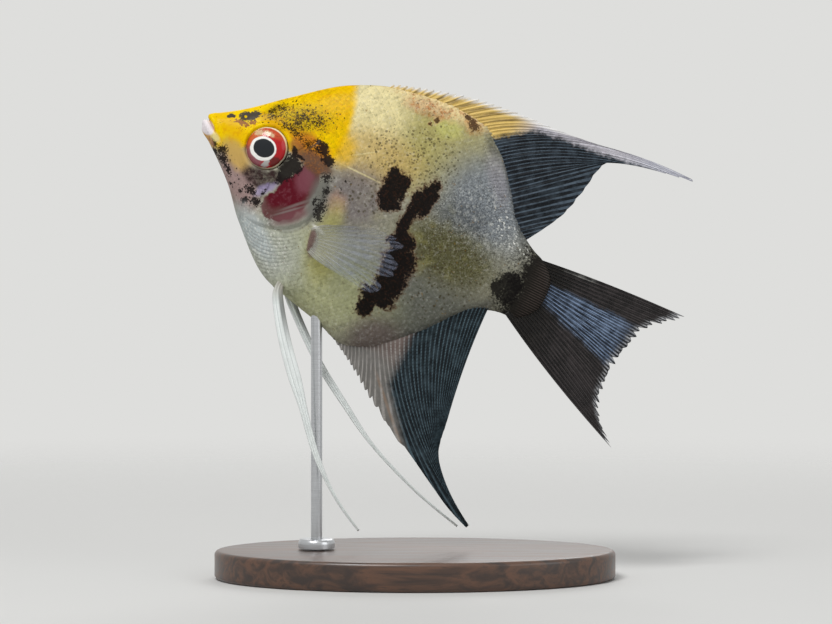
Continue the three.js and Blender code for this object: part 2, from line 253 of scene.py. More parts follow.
@dataclass(frozen=True)
class BodyForm:
    """The scaled body without fins: how wide and high it is along its length."""

    half_width: Curve = Curve(
        ((0, 0.25), (0.35, 0.95), (1.5, 1.65), (5, 2.85), (12, 4.35), (22, 5.35), (31, 5.45),
         (42, 4.4), (52, 2.75), (59, 1.85), (BODY_END, 1.05), (66.4, 0.75), (SKIN_END, 0.4))
    )
    ridge: Curve = Curve(
        ((0, 1.2), (0.3, 1.75), (0.62, 2.75), (1.0, 3.25), (1.8, 3.7), (5.8, 6.45), (11.7, 11.5),
         (20.2, 18), (28.4, 21.3), (38.5, 22.7), (44, 22.2), (49, 19.7), (53.7, 14.5), (57.4, 9.1),
         (61.8, 6.1), (63.6, 5.4), (65.2, 4.4), (66.5, 3.0), (SKIN_END, 1.4))
    )
    keel: Curve = Curve(
        ((0, 0.5), (0.25, -0.25), (2.4, -1.75), (8.6, -6.9), (12.9, -11.7), (21.9, -18.9),
         (27, -20.3), (33.8, -21.9), (38.4, -23.3), (43.8, -21.4), (50, -16.0), (57.6, -7.4),
         (61.5, -6.2), (63.6, -6.1), (65.2, -5.0), (66.5, -3.5), (SKIN_END, -2.2))
    )
    widest: Curve = Curve(
        ((0, 0.8), (1.2, 1.2), (5, 0.4), (12, -1), (24, -4), (36, -2.5), (50, -0.5), (BODY_END, -0.4))
    )

    @staticmethod
    def sharpness(u: Array) -> Array:
        """How lens-like the section is: round at the snout, sharp-edged behind the eyes."""
        return blend(1.0, 1.35, smooth(u, 2, 16))

    def ring(self, u: Array, angle: Array) -> Array:
        """Points on the body's surface.

        Args:
            u: How far along the body.
            angle: The turn round it, 0 on the right flank and a quarter turn on the ridge.

        Returns:
            An array of (u, y, v).
        """
        side, lift = np.cos(angle), np.sin(angle)
        middle = self.widest(u)
        reach = np.where(lift > 0, self.ridge(u) - middle, middle - self.keel(u))
        y = np.sign(side) * np.abs(side) ** self.sharpness(u) * self.half_width(u)
        return np.stack([u, y, middle + lift * reach], axis=-1)

    def angle_at(self, u: Array, v: Array, side: Side) -> Array:
        """The turn round the body at which its surface lies at a level.

        Args:
            u: How far along the body.
            v: The level.
            side: Which flank.

        Returns:
            The angle that ring takes.
        """
        middle = self.widest(u)
        reach = np.where(v > middle, self.ridge(u) - middle, middle - self.keel(u))
        angle = np.arcsin(np.clip((v - middle) / reach, -0.999, 0.999))
        return angle if side is Side.RIGHT else math.pi - angle


@dataclass(frozen=True)
class Relief:
    """How far the skin stands out from the plain body, or sinks into it, place by place."""

    eye_u: float = 12.25
    eye_v: float = 1.6
    eye_radius: float = 3.82
    socket_depth: float = 2.1
    rim_height: float = 0.16
    gill_edge: Line = Line(
        ((19.0, 7.9), (21.0, 6.5), (23.6, 3.2), (25.0, -1.6), (24.1, -6.6), (20.5, -9.9),
         (15, -10.9), (10.5, -9.6))
    )
    cheek_edge: Line = Line(
        ((18.2, 3.4), (17.2, 1.6), (16.4, -0.8), (15.6, -5), (15.0, -8.6), (14.2, -10.4))
    )
    mouth: Line = Line(((-0.2, 1.9), (0.9, 1.6), (2.3, 0.5), (3.8, -0.3)))
    jaw: Line = Line(((3.4, 2.6), (4.3, -0.1), (5.0, -1.8), (5.2, -3.4)))
    jaw_bone: Line = Line(((5.2, -2.0), (8.2, -4.3), (11.6, -7.4), (14.4, -9.6)))
    cheek_bone: Line = Line(((7.4, -0.9), (9.4, -3.1), (12.2, -4.1), (15.0, -3.0), (16.6, 0.2)))
    brow: Line = Line(((8.6, 5.6), (11.4, 7.0), (14.6, 6.6), (17.0, 4.2)))
    nostril: tuple[float, float] = (6.3, 4.9)

    def height(self, u: Array, v: Array) -> Array:
        """How far the skin stands out from the plain body, in millimetres."""
        parts = (self._gill, self._mouth, self._face, self._roots, self._eye)
        return sum(part(u, v) for part in parts)

    def _gill(self, u: Array, v: Array) -> Array:
        """The gill cover, with its free hind edge and the grooves round it.

        Args:
            u: Places behind the snout.
            v: Their levels.

        Returns:
            The height that it adds.
        """
        past, share = self.gill_edge.near(u, v)
        ends = inner(share, 0.10, 0.86)
        inside = -past
        behind_cheek, cheek_share = self.cheek_edge.near(u, v)
        plate = smooth(inside, -0.12, 0.30) * blend(0.26, 0.12, smooth(inside, 0.3, 5))
        plate = plate * smooth(behind_cheek, -0.6, 2.4) * ends
        opening = -0.16 * bell(past - 0.35, 0.34) * ends
        skirt = 0.10 * bell(inside - 1.5, 0.28) * ends * smooth(v, 2, -3)
        groove = -0.10 * bell(behind_cheek, 0.34) + 0.05 * bell(behind_cheek + 0.75, 0.5)
        return plate + opening + skirt + groove * inner(cheek_share, 0.6, 0.9, start=0.15)

    def _mouth(self, u: Array, v: Array) -> Array:
        """The mouth slit between rolled lips, and the upper jaw's hind edge.

        Args:
            u: Places behind the snout.
            v: Their levels.

        Returns:
            The height that it adds.
        """
        off, share = self.mouth.near(u, v)
        slit = -0.62 * bell(off, 0.20) * smooth(share, 0.86, 0.52)
        lips = 0.26 * bell(np.abs(off) - 0.75, 0.46) * smooth(u, 3.6, 1.2)
        jaw_off, jaw_share = self.jaw.near(u, v)
        jaw = -0.12 * bell(jaw_off, 0.2) + 0.06 * bell(jaw_off + 0.5, 0.3)
        return slit + lips + jaw * inner(jaw_share, 0.25, 0.7)

    def _face(self, u: Array, v: Array) -> Array:
        """The jaw bone, the bones under the eye, the brow and the nostril.

        Args:
            u: Places behind the snout.
            v: Their levels.

        Returns:
            The height that they add.
        """
        total = np.zeros(np.shape(u))
        for line, depth, width in ((self.jaw_bone, -0.10, 0.28), (self.cheek_bone, -0.07, 0.30),
                                   (self.brow, -0.03, 0.45)):
            off, share = line.near(u, v)
            fold = depth * bell(off, width) + 0.05 * bell(np.abs(off) - 0.7, 0.5)
            total = total + fold * inner(share, 0.2, 0.8)
        away = np.hypot(u - self.nostril[0], v - self.nostril[1])
        return total - 0.30 * bell(away, 0.24) + 0.11 * bell(away - 0.48, 0.17)

    @staticmethod
    def _roots(u: Array, v: Array) -> Array:
        """Swellings where the pectoral and ventral fins grow out.

        Args:
            u: Places behind the snout.
            v: Their levels.

        Returns:
            The height that they add.
        """
        pectoral = 0.45 * np.exp(-(((u - 26.2) / 0.9) ** 2) - ((v + 9.6) / 2.3) ** 2)
        ventral = 0.40 * np.exp(-(((u - 25.4) / 2.0) ** 2) - ((v + 17.9) / 1.5) ** 2)
        return pectoral + ventral

    def _eye(self, u: Array, v: Array) -> Array:
        """The socket, with a low rolled rim round it.

        Args:
            u: Places behind the snout.
            v: Their levels.

        Returns:
            The height that it adds.
        """
        away = np.hypot(u - self.eye_u, v - self.eye_v)
        socket = -self.socket_depth * smooth(away, self.eye_radius + 0.06, self.eye_radius - 0.24)
        rim = self.rim_height * bell(away - self.eye_radius - 0.42, 0.36)
        crease = -0.03 * bell(away - self.eye_radius - 1.05, 0.25)
        return socket + rim + crease


# ---- mesh tools


def close(bm: bmesh.types.BMesh, mesh: Mesh, merge: float = 0) -> Mesh:
    """Writes a bmesh into a mesh, with its faces pointing out.

    Args:
        bm: The bmesh, which is freed.
        mesh: The mesh.
        merge: How near each other points are merged first, or 0 to merge none.

    Returns:
        The mesh.
    """
    if merge:
        bmesh.ops.remove_doubles(bm, verts=bm.verts[:], dist=merge)
    bmesh.ops.recalc_face_normals(bm, faces=bm.faces[:])
    bm.to_mesh(mesh)
    bm.free()
    return mesh


@dataclass(frozen=True)
class Workshop:
    """Turns shaped meshes into finished pieces of the object."""

    where: FishFrame
    merge: float = 1e-5

    def grid(self, name: str, columns: int, rows: int, place: Callable[[Array, Array, Array], Array],
             two_sided: bool = False, uv: Optional[Callable] = None) -> Mesh:
        """Bends a fine grid into a closed skin, or a doubled grid into a closed plate.

        Args:
            name: The mesh's name.
            columns: How many faces lie across the grid.
            rows: How many lie along it.
            place: Takes arrays of across, along (0 to 1) and face (0 or 1) to (u, y, v).
            two_sided: Whether the grid is doubled and closed round its rim first.
            uv: Takes across and along to a place on the OFBake map.

        Returns:
            The welded mesh, in level millimetres, with its faces pointing out.
        """
        bm = bmesh.new()
        bmesh.ops.create_grid(bm, x_segments=columns, y_segments=rows, size=0.5)
        if two_sided:
            made = bmesh.ops.extrude_face_region(bm, geom=bm.faces[:], use_keep_orig=True)
            lifted = [item for item in made["geom"] if isinstance(item, bmesh.types.BMVert)]
            bmesh.ops.translate(bm, verts=lifted, vec=(0, 0, 1))
        mesh = bpy.data.meshes.new(name)
        bm.to_mesh(mesh)
        flat = self.read(mesh) + np.array([0.5, 0.5, 0])
        self._write_uv(mesh, flat, uv)
        self.write(mesh, place(flat[:, 0], flat[:, 1], flat[:, 2]))
        bm.clear()
        bm.from_mesh(mesh)
        return close(bm, mesh, self.merge)

    @staticmethod
    def _write_uv(mesh: Mesh, flat: Array, uv: Optional[Callable]) -> None:
        """Keeps the grid's own coordinates, and the OFBake place if one is given.

        Args:
            mesh: The grid's mesh, still flat.
            flat: Its points, as (across, along, face) rows.
            uv: Gives their OFBake places, if the piece has any.
        """
        corners = np.zeros(len(mesh.loops), int)
        mesh.loops.foreach_get("vertex_index", corners)
        across, along = flat[corners, 0], flat[corners, 1]
        maps = {"Grid": (across, along)}
        if uv is not None:
            maps["OFBake"] = uv(across, along)
        for name, (x, y) in maps.items():
            layer = mesh.uv_layers.new(name=name)
            layer.data.foreach_set("uv", np.stack([x, y], axis=1).astype(np.float32).ravel())

    @staticmethod
    def read(mesh: Mesh, what: str = "co") -> Array:
        """The mesh's vertex places, or its vertex normals, as rows.

        Args:
            mesh: The mesh.
            what: "co" for places or "normal" for normals.

        Returns:
            One row for each vertex.
        """
        values = np.zeros(len(mesh.vertices) * 3, np.float32)
        mesh.vertices.foreach_get(what, values)
        return values.reshape(-1, 3).astype(float)

    @staticmethod
    def write(mesh: Mesh, spots: Array) -> None:
        """Moves the mesh's vertices to the given rows."""
        mesh.vertices.foreach_set("co", np.asarray(spots, np.float32).ravel())
        mesh.update()

    def finish(self, mesh: Mesh, material: Material, slot: str,
               replaces: Sequence[str] = (), sharp: Optional[float] = None,
               level: bool = True) -> Piece:
        """Makes a mesh one finished piece of the object.

        Args:
            mesh: The piece's mesh, which gives it its name.
            material: Its finish.
            slot: The record's material slot.
            replaces: The CAD nodes that the piece stands for.
            sharp: The angle past which an edge stays crisp, if any does.
            level: Whether the mesh is in level millimetres and still has to be placed.

        Returns:
            The piece.
        """
        if level:
            self.write(mesh, self.where.to_row(self.read(mesh)))
        mesh.shade_smooth()
        if sharp is not None:
            mesh.set_sharp_from_angle(angle=sharp)
        mesh.materials.append(material)
        piece = bpy.data.objects.new(mesh.name, mesh)
        bpy.context.scene.collection.objects.link(piece)
        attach(piece, "root")
        if replaces:
            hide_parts(*replaces)
        LOG.info("%s: %d triangles", piece.name, sum(len(p.vertices) - 2 for p in mesh.polygons))
        return piece


# ---- shader tools


def tint(red: float, green: float, blue: float) -> Colour:
    """A colour from its screen values.

    Args:
        red: Red, from 0 to 255, and the same for the other two.
        green: Green.
        blue: Blue.

    Returns:
        The linear colour, opaque.
    """
    shares = [value / 255 for value in (red, green, blue)]
    linear = [s / 12.92 if s <= 0.04045 else ((s + 0.055) / 1.055) ** 2.4 for s in shares]
    return (linear[0], linear[1], linear[2], 1.0)


Input = Union[float, Sequence[float], "Field", Socket]


def maths(operation: str, gives: str, turned: bool = False) -> Callable[..., "Field"]:
    """Makes a method of Field that adds one Math node.

    Args:
        operation: The node's operation.
        gives: What the method gives, for its docstring.
        turned: Whether the field comes after the other value.

    Returns:
        The method.
    """

    def method(self: "Field", *others: Input) -> "Field":
        """Adds the node."""
        values = (*others, self) if turned else (self, *others)
        made = self.nodes.node("ShaderNodeMath", {"operation": operation}, dict(enumerate(values)))
        return Field(self.nodes, made)

    method.__doc__ = gives
    return method


class Field:
    """A number that changes over a surface: a socket that takes Python's arithmetic."""

    def __init__(self, nodes: "Nodes", socket: Socket) -> None:
        """Wraps a socket of one of the given nodes."""
        self.nodes = nodes
        self.socket = socket

    __add__ = __radd__ = maths("ADD", "The sum.")
    __sub__ = maths("SUBTRACT", "The difference.")
    __rsub__ = maths("SUBTRACT", "A number less this field.", turned=True)
    __mul__ = __rmul__ = maths("MULTIPLY", "The product.")
    least = maths("MINIMUM", "The lesser of this and another.")
    most = maths("MAXIMUM", "The greater of this and another.")
    size = maths("ABSOLUTE", "The value without its sign.")
    part = maths("FRACT", "What is left past the whole number below.")
    whole = maths("FLOOR", "The whole number below.")
    root = maths("SQRT", "The square root.")
    times_plus = maths("MULTIPLY_ADD", "This field times a factor, plus something more.")

    def beat(self) -> "Field":
        """How far the value lies from the middle between two whole numbers, a half at most."""
        return (self.part() - 0.5).size()

    def ramp(self, start: float, end: float, low: float = 0, high: float = 1) -> "Field":
        """Goes smoothly from low to high.

        Args:
            start: The value at which the result is low.
            end: The value at which it is high, which may be below start.
            low: The result at and before start.
            high: The result at and past end.

        Returns:
            The new field.
        """
        if start > end:
            start, end, low, high = end, start, high, low
        inputs = {"Value": self, "From Min": start, "From Max": end, "To Min": low, "To Max": high}
        settings = {"interpolation_type": "SMOOTHSTEP"}
        return Field(self.nodes, self.nodes.node("ShaderNodeMapRange", settings, inputs))


class Nodes:
    """The nodes of a material or of the world, which one method adds."""

    def __init__(self, tree: bpy.types.NodeTree) -> None:
        """Takes the tree that the nodes go into."""
        self.tree = tree

    def node(self, kind: str, settings: Optional[Mapping[str, Any]] = None,
             inputs: Optional[Mapping[Union[str, int], Input]] = None,
             output: Union[str, int, None] = 0) -> Any:
        """Adds a node.

        Args:
            kind: The node's type.
            settings: Its own settings, which are set first.
            inputs: Values or links of its sockets, by name or number.
            output: The output to return, or None for the node itself.

        Returns:
            An output socket, or the node.
        """
        made = self.tree.nodes.new(kind)
        for key, value in (settings or {}).items():
            setattr(made, key, value)
        for key, value in (inputs or {}).items():
            self.feed(made, key, value)
        if output is None:
            return made
        usable = [socket for socket in made.outputs if socket.enabled]
        return usable[output] if isinstance(output, int) else next(s for s in usable if s.name == output)

    def feed(self, made: bpy.types.Node, key: Union[str, int], value: Input) -> None:
        """Sets or links one socket of a node.

        Args:
            made: The node.
            key: The socket's name or number.
            value: A value, or what to link.
        """
        if isinstance(key, int):
            socket = made.inputs[key]
        else:
            socket = next(s for s in made.inputs if s.enabled and s.name == key)
        if isinstance(value, Field):
            value = value.socket
        if isinstance(value, Socket):
            self.tree.links.new(value, socket)
        else:
            socket.default_value = value


@dataclass(frozen=True)
class Mark:
    """An oval patch of the fish's pattern: its middle, its half sizes and its turn."""

    u: float
    v: float
    long: float
    high: float
    turn: float = 0


Plane = tuple[Field, Field]
Place = tuple[float, float]


def moved(plane: Plane, along: Input, up: Input) -> Plane:
    """A plane's coordinates moved by two numbers or fields."""
    return (plane[0] + along, plane[1] + up)


class Pen(Nodes):
    """Draws one material, in millimetres: on the fish, in its own level frame."""

    def __init__(self, name: str, where: Optional[FishFrame] = None) -> None:
        """Starts a material.

        Args:
            name: The material's name.
            where: The fish frame, on a piece of the fish.
        """
        self.material = bpy.data.materials.new(name)
        self.material.use_nodes = True
        super().__init__(self.material.node_tree)
        inputs = {"Vector": self.node("ShaderNodeTexCoord", output="Object"), "Scale": (MM, MM, MM)}
        if where is not None:
            inputs.update({"Location": where.snout, "Rotation": (0, PITCH, 0)})
        self.spot = self.node("ShaderNodeMapping", {"vector_type": "TEXTURE"}, inputs)
        self.u, self.y, self.v = self._split(self.spot)
        self.flat = (self.u, self.v)

    def _split(self, vector: Socket) -> list[Field]:
        """The three numbers of a vector."""
        parts = self.node("ShaderNodeSeparateXYZ", {}, {"Vector": vector}, None)
        return [Field(self, socket) for socket in parts.outputs]

    def grid(self) -> list[Field]:
        """The shares across and along the grid that a piece is bent from."""
        return self._split(self.node("ShaderNodeUVMap", {"uv_map": "Grid"}))[:2]

    def mix(self, share: Input, first: Input, second: Input, way: str = "MIX") -> Socket:
        """Mixes two colours in some way, by the share of the second that shows."""
        settings = {"data_type": "RGBA", "blend_type": way}
        return self.node("ShaderNodeMix", settings, {"Factor": share, "A": first, "B": second}, "Result")

    def noise(self, size: float, detail: float = 2, rough: float = 0.5, offset: float = 0,
              vector: Input = None, twist: float = 0) -> Field:
        """A soft noise.

        Args:
            size: The size of its lumps, in millimetres.
            detail: How many finer layers it has.
            rough: How strong those are.
            offset: How far the noise is moved, so that two of a size differ.
            vector: The coordinates, or the fish's own.
            twist: How far its lumps are drawn into swirls.

        Returns:
            The noise, round about a half.
        """
        vector = self.spot if vector is None else vector
        if offset:
            vector = self.node("ShaderNodeMapping", {}, {"Vector": vector, "Location": (offset,) * 3})
        inputs = {"Vector": vector, "Scale": 1 / size, "Detail": detail, "Roughness": rough,
                  "Distortion": twist}
        return Field(self, self.node("ShaderNodeTexNoise", {}, inputs))

    def wander(self, size: float, reach: float, detail: float = 1, rough: float = 0.5,
               offset: float = 0) -> Field:
        """A number that wanders by up to about half its reach each way, as noise does."""
        return (self.noise(size, detail, rough, offset) - 0.5) * reach

    def _square(self, plane: Plane, mark: Mark) -> Field:
        """The square of how far out from a mark's middle each place lies.

        Args:
            plane: The coordinates.
            mark: The mark.

        Returns:
            The square, 1 at the mark's rim.
        """
        turn = math.radians(mark.turn)
        total = None
        for lead, other, size in ((math.cos(turn), math.sin(turn), mark.long),
                                  (-math.sin(turn), math.cos(turn), mark.high)):
            start = -(mark.u * lead + mark.v * other) / size
            part = plane[1].times_plus(other / size, start) if other else start
            part = plane[0].times_plus(lead / size, part) if lead else part
            total = part * part if total is None else part.times_plus(part, total)
        return total

    def away(self, plane: Plane, *marks: Mark) -> Field:
        """How far out from the nearest of the marks each place lies, 1 at its rim."""
        squares = [self._square(plane, mark) for mark in marks]
        return reduce(Field.least, squares).root()

    def over(self, first: Place, second: Place) -> Field:
        """How far above the straight line through two (u, v) places each place lies."""
        slope = (second[1] - first[1]) / (second[0] - first[0])
        return self.u.times_plus(-slope, first[0] * slope - first[1]) + self.v

    def specks(self, spacing: float) -> tuple[Field, Field]:
        """Scattered dots.

        Args:
            spacing: The usual distance between dots, in millimetres.

        Returns:
            The distance from the nearest dot in spacings, and a number of its own.
        """
        inputs = {"Vector": self.spot, "Scale": 1 / spacing}
        dots = self.node("ShaderNodeTexVoronoi", {}, inputs, None)
        own = self.node("ShaderNodeSeparateColor", {}, {"Color": dots.outputs["Color"]})
        return Field(self, dots.outputs["Distance"]), Field(self, own)

    def finish(self, sockets: Mapping[str, Input], height: Input = None, depth: float = 0,
               strength: float = 1.0) -> Material:
        """Completes the material.

        Args:
            sockets: Values or links of the surface shader's sockets.
            height: What roughens the surface, if anything does.
            depth: How deep that is at its most, in millimetres.
            strength: How much of it shows.

        Returns:
            The material.
        """
        sockets = dict(sockets)
        if height is not None:
            inputs = {"Height": height, "Distance": depth * MM, "Strength": strength}
            sockets["Normal"] = self.node("ShaderNodeBump", {}, inputs)
        for name, value in sockets.items():
            self.feed(self.tree.nodes["Principled BSDF"], name, value)
        return self.material


# ---- the fish's markings


@dataclass(frozen=True)
class Palette:
    """The colours of the koi-patterned young fish."""

    flank: Colour = tint(158, 156, 138)
    cream: Colour = tint(232, 219, 165)
    straw: Colour = tint(176, 167, 104)
    tan: Colour = tint(200, 172, 106)
    lilac_grey: Colour = tint(122, 114, 114)
    blue_grey: Colour = tint(128, 135, 142)
    # Khaki, darkened in part as painted shade for the light falling off towards the tail.
    khaki: Colour = tint(92, 90, 58)
    dusk: Colour = tint(98, 101, 94)
    breast: Colour = tint(186, 190, 178)
    belly: Colour = tint(184, 187, 142)
    peach: Colour = tint(196, 146, 116)
    pink_belly: Colour = tint(112, 101, 97)
    gold: Colour = tint(238, 216, 160)
    yellow: Colour = tint(246, 208, 0)
    deep_yellow: Colour = tint(232, 184, 0)
    olive_gold: Colour = tint(190, 160, 4)
    orange: Colour = tint(194, 116, 34)
    snout_tan: Colour = tint(192, 158, 66)
    cheek_tan: Colour = tint(204, 168, 92)
    # A dark spot's colour, lightened and blued as a painted sheen.
    sheened_snout_dark: Colour = tint(56, 56, 62)
    mottle: Colour = tint(38, 28, 10)
    bronze: Colour = tint(136, 100, 16)
    ink: Colour = tint(27, 22, 22)
    blotch: Colour = tint(20, 18, 18)
    shoulder_grey: Colour = tint(112, 112, 106)
    fringe: Colour = tint(104, 72, 52)
    umber: Colour = tint(66, 42, 30)
    glow_green: Colour = tint(204, 204, 120)
    slate: Colour = tint(90, 95, 98)
    stalk: Colour = tint(18, 15, 15)
    stalk_ray: Colour = tint(80, 70, 66)
    # Painted shade where the body meets the dorsal and anal fins.
    fin_root_shade: Colour = tint(50, 54, 56)
    mist: Colour = tint(156, 151, 158)
    veil: Colour = tint(118, 72, 78)
    amber: Colour = tint(214, 142, 12)
    rust: Colour = tint(190, 140, 86)
    speck: Colour = tint(70, 62, 42)
    cheek: Colour = tint(172, 145, 142)
    under_eye: Colour = tint(60, 45, 44)
    lilac: Colour = tint(166, 154, 190)
    maroon: Colour = tint(92, 22, 34)
    gill_pink: Colour = tint(128, 76, 86)
    gill_low: Colour = tint(100, 66, 64)
    gill_rim: Colour = tint(150, 152, 146)
    temple: Colour = tint(104, 74, 56)
    fox: Colour = tint(154, 98, 52)
    lip: Colour = tint(242, 234, 237)
    throat: Colour = tint(186, 195, 197)
    olive: Colour = tint(180, 174, 94)
    pectoral_root: Colour = tint(138, 116, 112)
    # Painted glints and highlights of light.
    glint_white: Colour = tint(240, 240, 232)


class BodyPaint:
    """Paints the fish's markings, the same on the skin and on the scales over it.

    Marks lie on the fish as they look from SIGHT millimetres away, level with the point that
    AXIS_U and AXIS_V give. Their rims wander, and more so on the right side, which gets marks of
    the same kind in slightly other places.
    """

    SIGHT = 400.0
    AXIS_U = 48.0
    AXIS_V = -12.5
    SPOTTED = (Mark(34.9, 4.9, 2.1, 3.3, 4), Mark(34.0, 7.4, 1.1, 1.2), Mark(35.4, 2.6, 1.9, 1.5),
               Mark(36.2, 6.4, 1.3, 1.7))
    BANDED = (Mark(41.1, 5.9, 1.35, 3.3), Mark(39.7, 4.6, 1.2, 2.6), Mark(39.5, 0.6, 1.1, 3.4),
              Mark(40.5, -2.8, 2.2, 1.8), Mark(41.4, -6.0, 2.7, 2.6), Mark(41.6, -9.6, 2.6, 3.2),
              Mark(40.7, -13.2, 2.9, 1.7), Mark(39.6, -15.3, 1.5, 1.9))
    STALK_DARK = (Mark(60.6, -1.0, 2.1, 2.2), Mark(58.9, -2.4, 1.2, 1.5), Mark(61.2, -3.4, 1.2, 0.9))
    STALK_RAYS = 2.36
    TEMPLE = (Mark(20.9, 5.9, 1.5, 0.85, -40), Mark(22.5, 4.5, 1.2, 1.0), Mark(19.8, 6.6, 0.9, 0.5, -20))
    BEHIND_EYE = (Mark(16.8, 0.3, 1.5, 2.6, 4), Mark(18.0, 0.9, 1.0, 1.3), Mark(16.5, -1.5, 1.0, 1.5, 8),
                  Mark(16.7, 3.2, 0.6, 1.3, 20), Mark(17.7, 2.9, 0.8, 0.4, -25))
    NOSTRIL_DARK = (Mark(6.3, 5.2, 1.35, 0.9, 38), Mark(7.3, 6.0, 1.2, 0.75, 44),
                    Mark(3.9, 4.1, 0.7, 0.4, 28))
    NOSTRIL_RUST = (Mark(6.2, 3.8, 1.3, 0.4, 12), Mark(7.8, 4.8, 0.7, 0.4, 40))
    JAW_DARK = (Mark(5.0, -2.0, 0.95, 0.8, -20), Mark(5.8, -3.3, 1.25, 0.65, -28),
                Mark(7.2, -4.5, 1.2, 0.34, -33), Mark(3.1, -1.6, 1.1, 0.4, -30),
                Mark(4.1, -2.7, 0.9, 0.3, -42), Mark(9.0, -6.4, 0.5, 0.16, -40))
    CHEEK_DOTS = (Mark(14.2, -7.6, 1.1, 0.75, 10), Mark(12.4, -8.2, 0.6, 0.5),
                  Mark(12.5, -6.2, 1.2, 0.7, -20), Mark(10.9, -7.1, 0.4, 0.35),
                  Mark(14.9, -5.6, 0.35, 0.35), Mark(15.0, -4.9, 0.25, 0.25))
    GILL_RED = (Mark(20.6, -0.5, 2.3, 3.4), Mark(19.8, -3.4, 3.1, 2.9), Mark(17.4, -7.0, 2.0, 2.4),
                Mark(18.9, -5.4, 2.8, 2.3, 40), Mark(18.8, -7.2, 2.8, 1.7, 34))
    SHOULDER_DARK = (Mark(25.0, -3.7, 0.9, 1.9, 4), Mark(23.6, 1.7, 0.9, 0.9), Mark(25.4, -5.2, 0.9, 0.7),
                     Mark(24.6, -0.6, 0.6, 0.9), Mark(27.0, 2.6, 0.3, 0.3), Mark(26.6, 1.2, 0.25, 0.3),
                     Mark(23.7, -3.0, 0.35, 0.8, 10))
    BACK_SPOTS = (Mark(42.6, 21.4, 1.1, 1.0), Mark(41.4, 22.1, 0.8, 0.5), Mark(36.7, 19.1, 0.40, 0.55),
                  Mark(35.9, 18.0, 0.22, 0.28))

    def __init__(self, pen: Pen, palette: Palette) -> None:
        """Lays every marking, from the broad ones to the small.

        Args:
            pen: The material's pen.
            palette: The fish's colours.
        """
        self.pen = pen
        self.palette = palette
        nearer = pen.y.size().times_plus(1 / self.SIGHT, 1.0)
        self.flat = ((pen.u - self.AXIS_U).times_plus(nearer, self.AXIS_U),
                     (pen.v - self.AXIS_V).times_plus(nearer, self.AXIS_V))
        ragged = [pen.wander(0.9, 1.1, 2, offset=at) + pen.wander(3.2, 1.5, offset=at + 20)
                  for at in (0, 40)]
        self.near = moved(self.flat, ragged[0] * 0.55, ragged[1] * 0.55)
        far_side = pen.y.ramp(-0.8, 0.8)
        drift = [far_side * (pen.wander(9, 9, offset=at) + lean)
                 for at, lean in ((80, 2.6), (100, 1.7))]
        self.loose = moved(moved(self.flat, *ragged), *drift)
        self.colour: Any = palette.flank
        self._flank()
        self._flecks()
        self._yellow_head()
        self._gill()
        self._face()
        self._shoulder()
        self._blotches()

    def lay(self, mask: Input, colour: Input) -> None:
        """Lays a colour over what is there, as far as the mask says."""
        self.colour = self.pen.mix(mask, self.colour, colour)

    def patch(self, mark: Mark, colour: Input, strength: float = 1.0, soft: float = 0.7,
              plane: Optional[Plane] = None) -> None:
        """Lays one soft oval of colour."""
        away = self.pen.away(plane or self.near, mark)
        self.lay(away.ramp(1.0 + soft / 2, 1.0 - soft / 2, 0, strength), colour)

    def ragged(self, marks: Sequence[Mark], grain: float, tear: float,
               plane: Optional[Plane] = None) -> Field:
        """How far out of a group of marks each place lies, 1 at their torn rims."""
        return self.pen.away(plane or self.near, *marks) + self.pen.wander(grain, tear, 3, 0.7)

    def _flank(self) -> None:
        """The pale ground: cream in front of the fin, blue grey and khaki further back."""
        p, pen, near = self.palette, self.pen, self.near
        for mark, colour, strength in (
            (Mark(48, -13, 13, 9), p.dusk, 0.85),
            (Mark(30, -15, 12.5, 7), p.belly, 0.85),
            (Mark(19, -15, 8, 6), p.breast, 0.9),
            (Mark(37, 15, 14, 8), p.straw, 0.95),
            (Mark(25.6, 15, 6.4, 9), p.cream, 0.95),
            (Mark(29.5, 8.5, 8, 4.6, 6), p.tan, 0.8),
            (Mark(29.5, 0.8, 5.5, 5.2), p.lilac_grey, 0.85),
            (Mark(27.0, -1.6, 1.8, 2.0, 20), p.peach, 0.4),
            (Mark(51, 10, 9.5, 8.5, -25), p.blue_grey, 0.95),
            # Khaki, partly the flank's own colour and partly painted shade towards the tail.
            (Mark(48.4, -1.0, 9.4, 5.0, -4), p.khaki, 0.95),
            (Mark(47.6, 6.0, 5.2, 2.6, 4), p.slate, 0.6),
            (Mark(38.9, 18.8, 2.4, 1.7), p.glow_green, 0.6),
            (Mark(43.5, -20.5, 5, 4.2, 24), p.pink_belly, 0.9),
        ):
            self.patch(mark, colour, strength, 1.1)
        coarse = pen.noise(0.8, 3, 0.7, 60)
        gold = pen.away(near, Mark(36, 22.6, 11, 2.7, 3)).ramp(1.4, 0.5)
        self.lay(gold * 0.85, p.gold)
        self.lay(gold * coarse.ramp(0.50, 0.62, 0, 0.75), p.rust)
        rusty = pen.away(near, Mark(34.2, 20.3, 4.4, 1.6, 8)).ramp(1.3, 0.6)
        self.lay(rusty * 0.4, p.peach)
        self.lay(rusty * coarse.ramp(0.47, 0.60, 0, 0.42), p.orange)
        self.lay(rusty * pen.noise(0.45, 3, 0.7, 70).ramp(0.58, 0.64, 0, 0.6), p.umber)
        self.patch(Mark(50.6, 14.6, 4.6, 1.6, -52), p.mist, 0.5, 1.2)
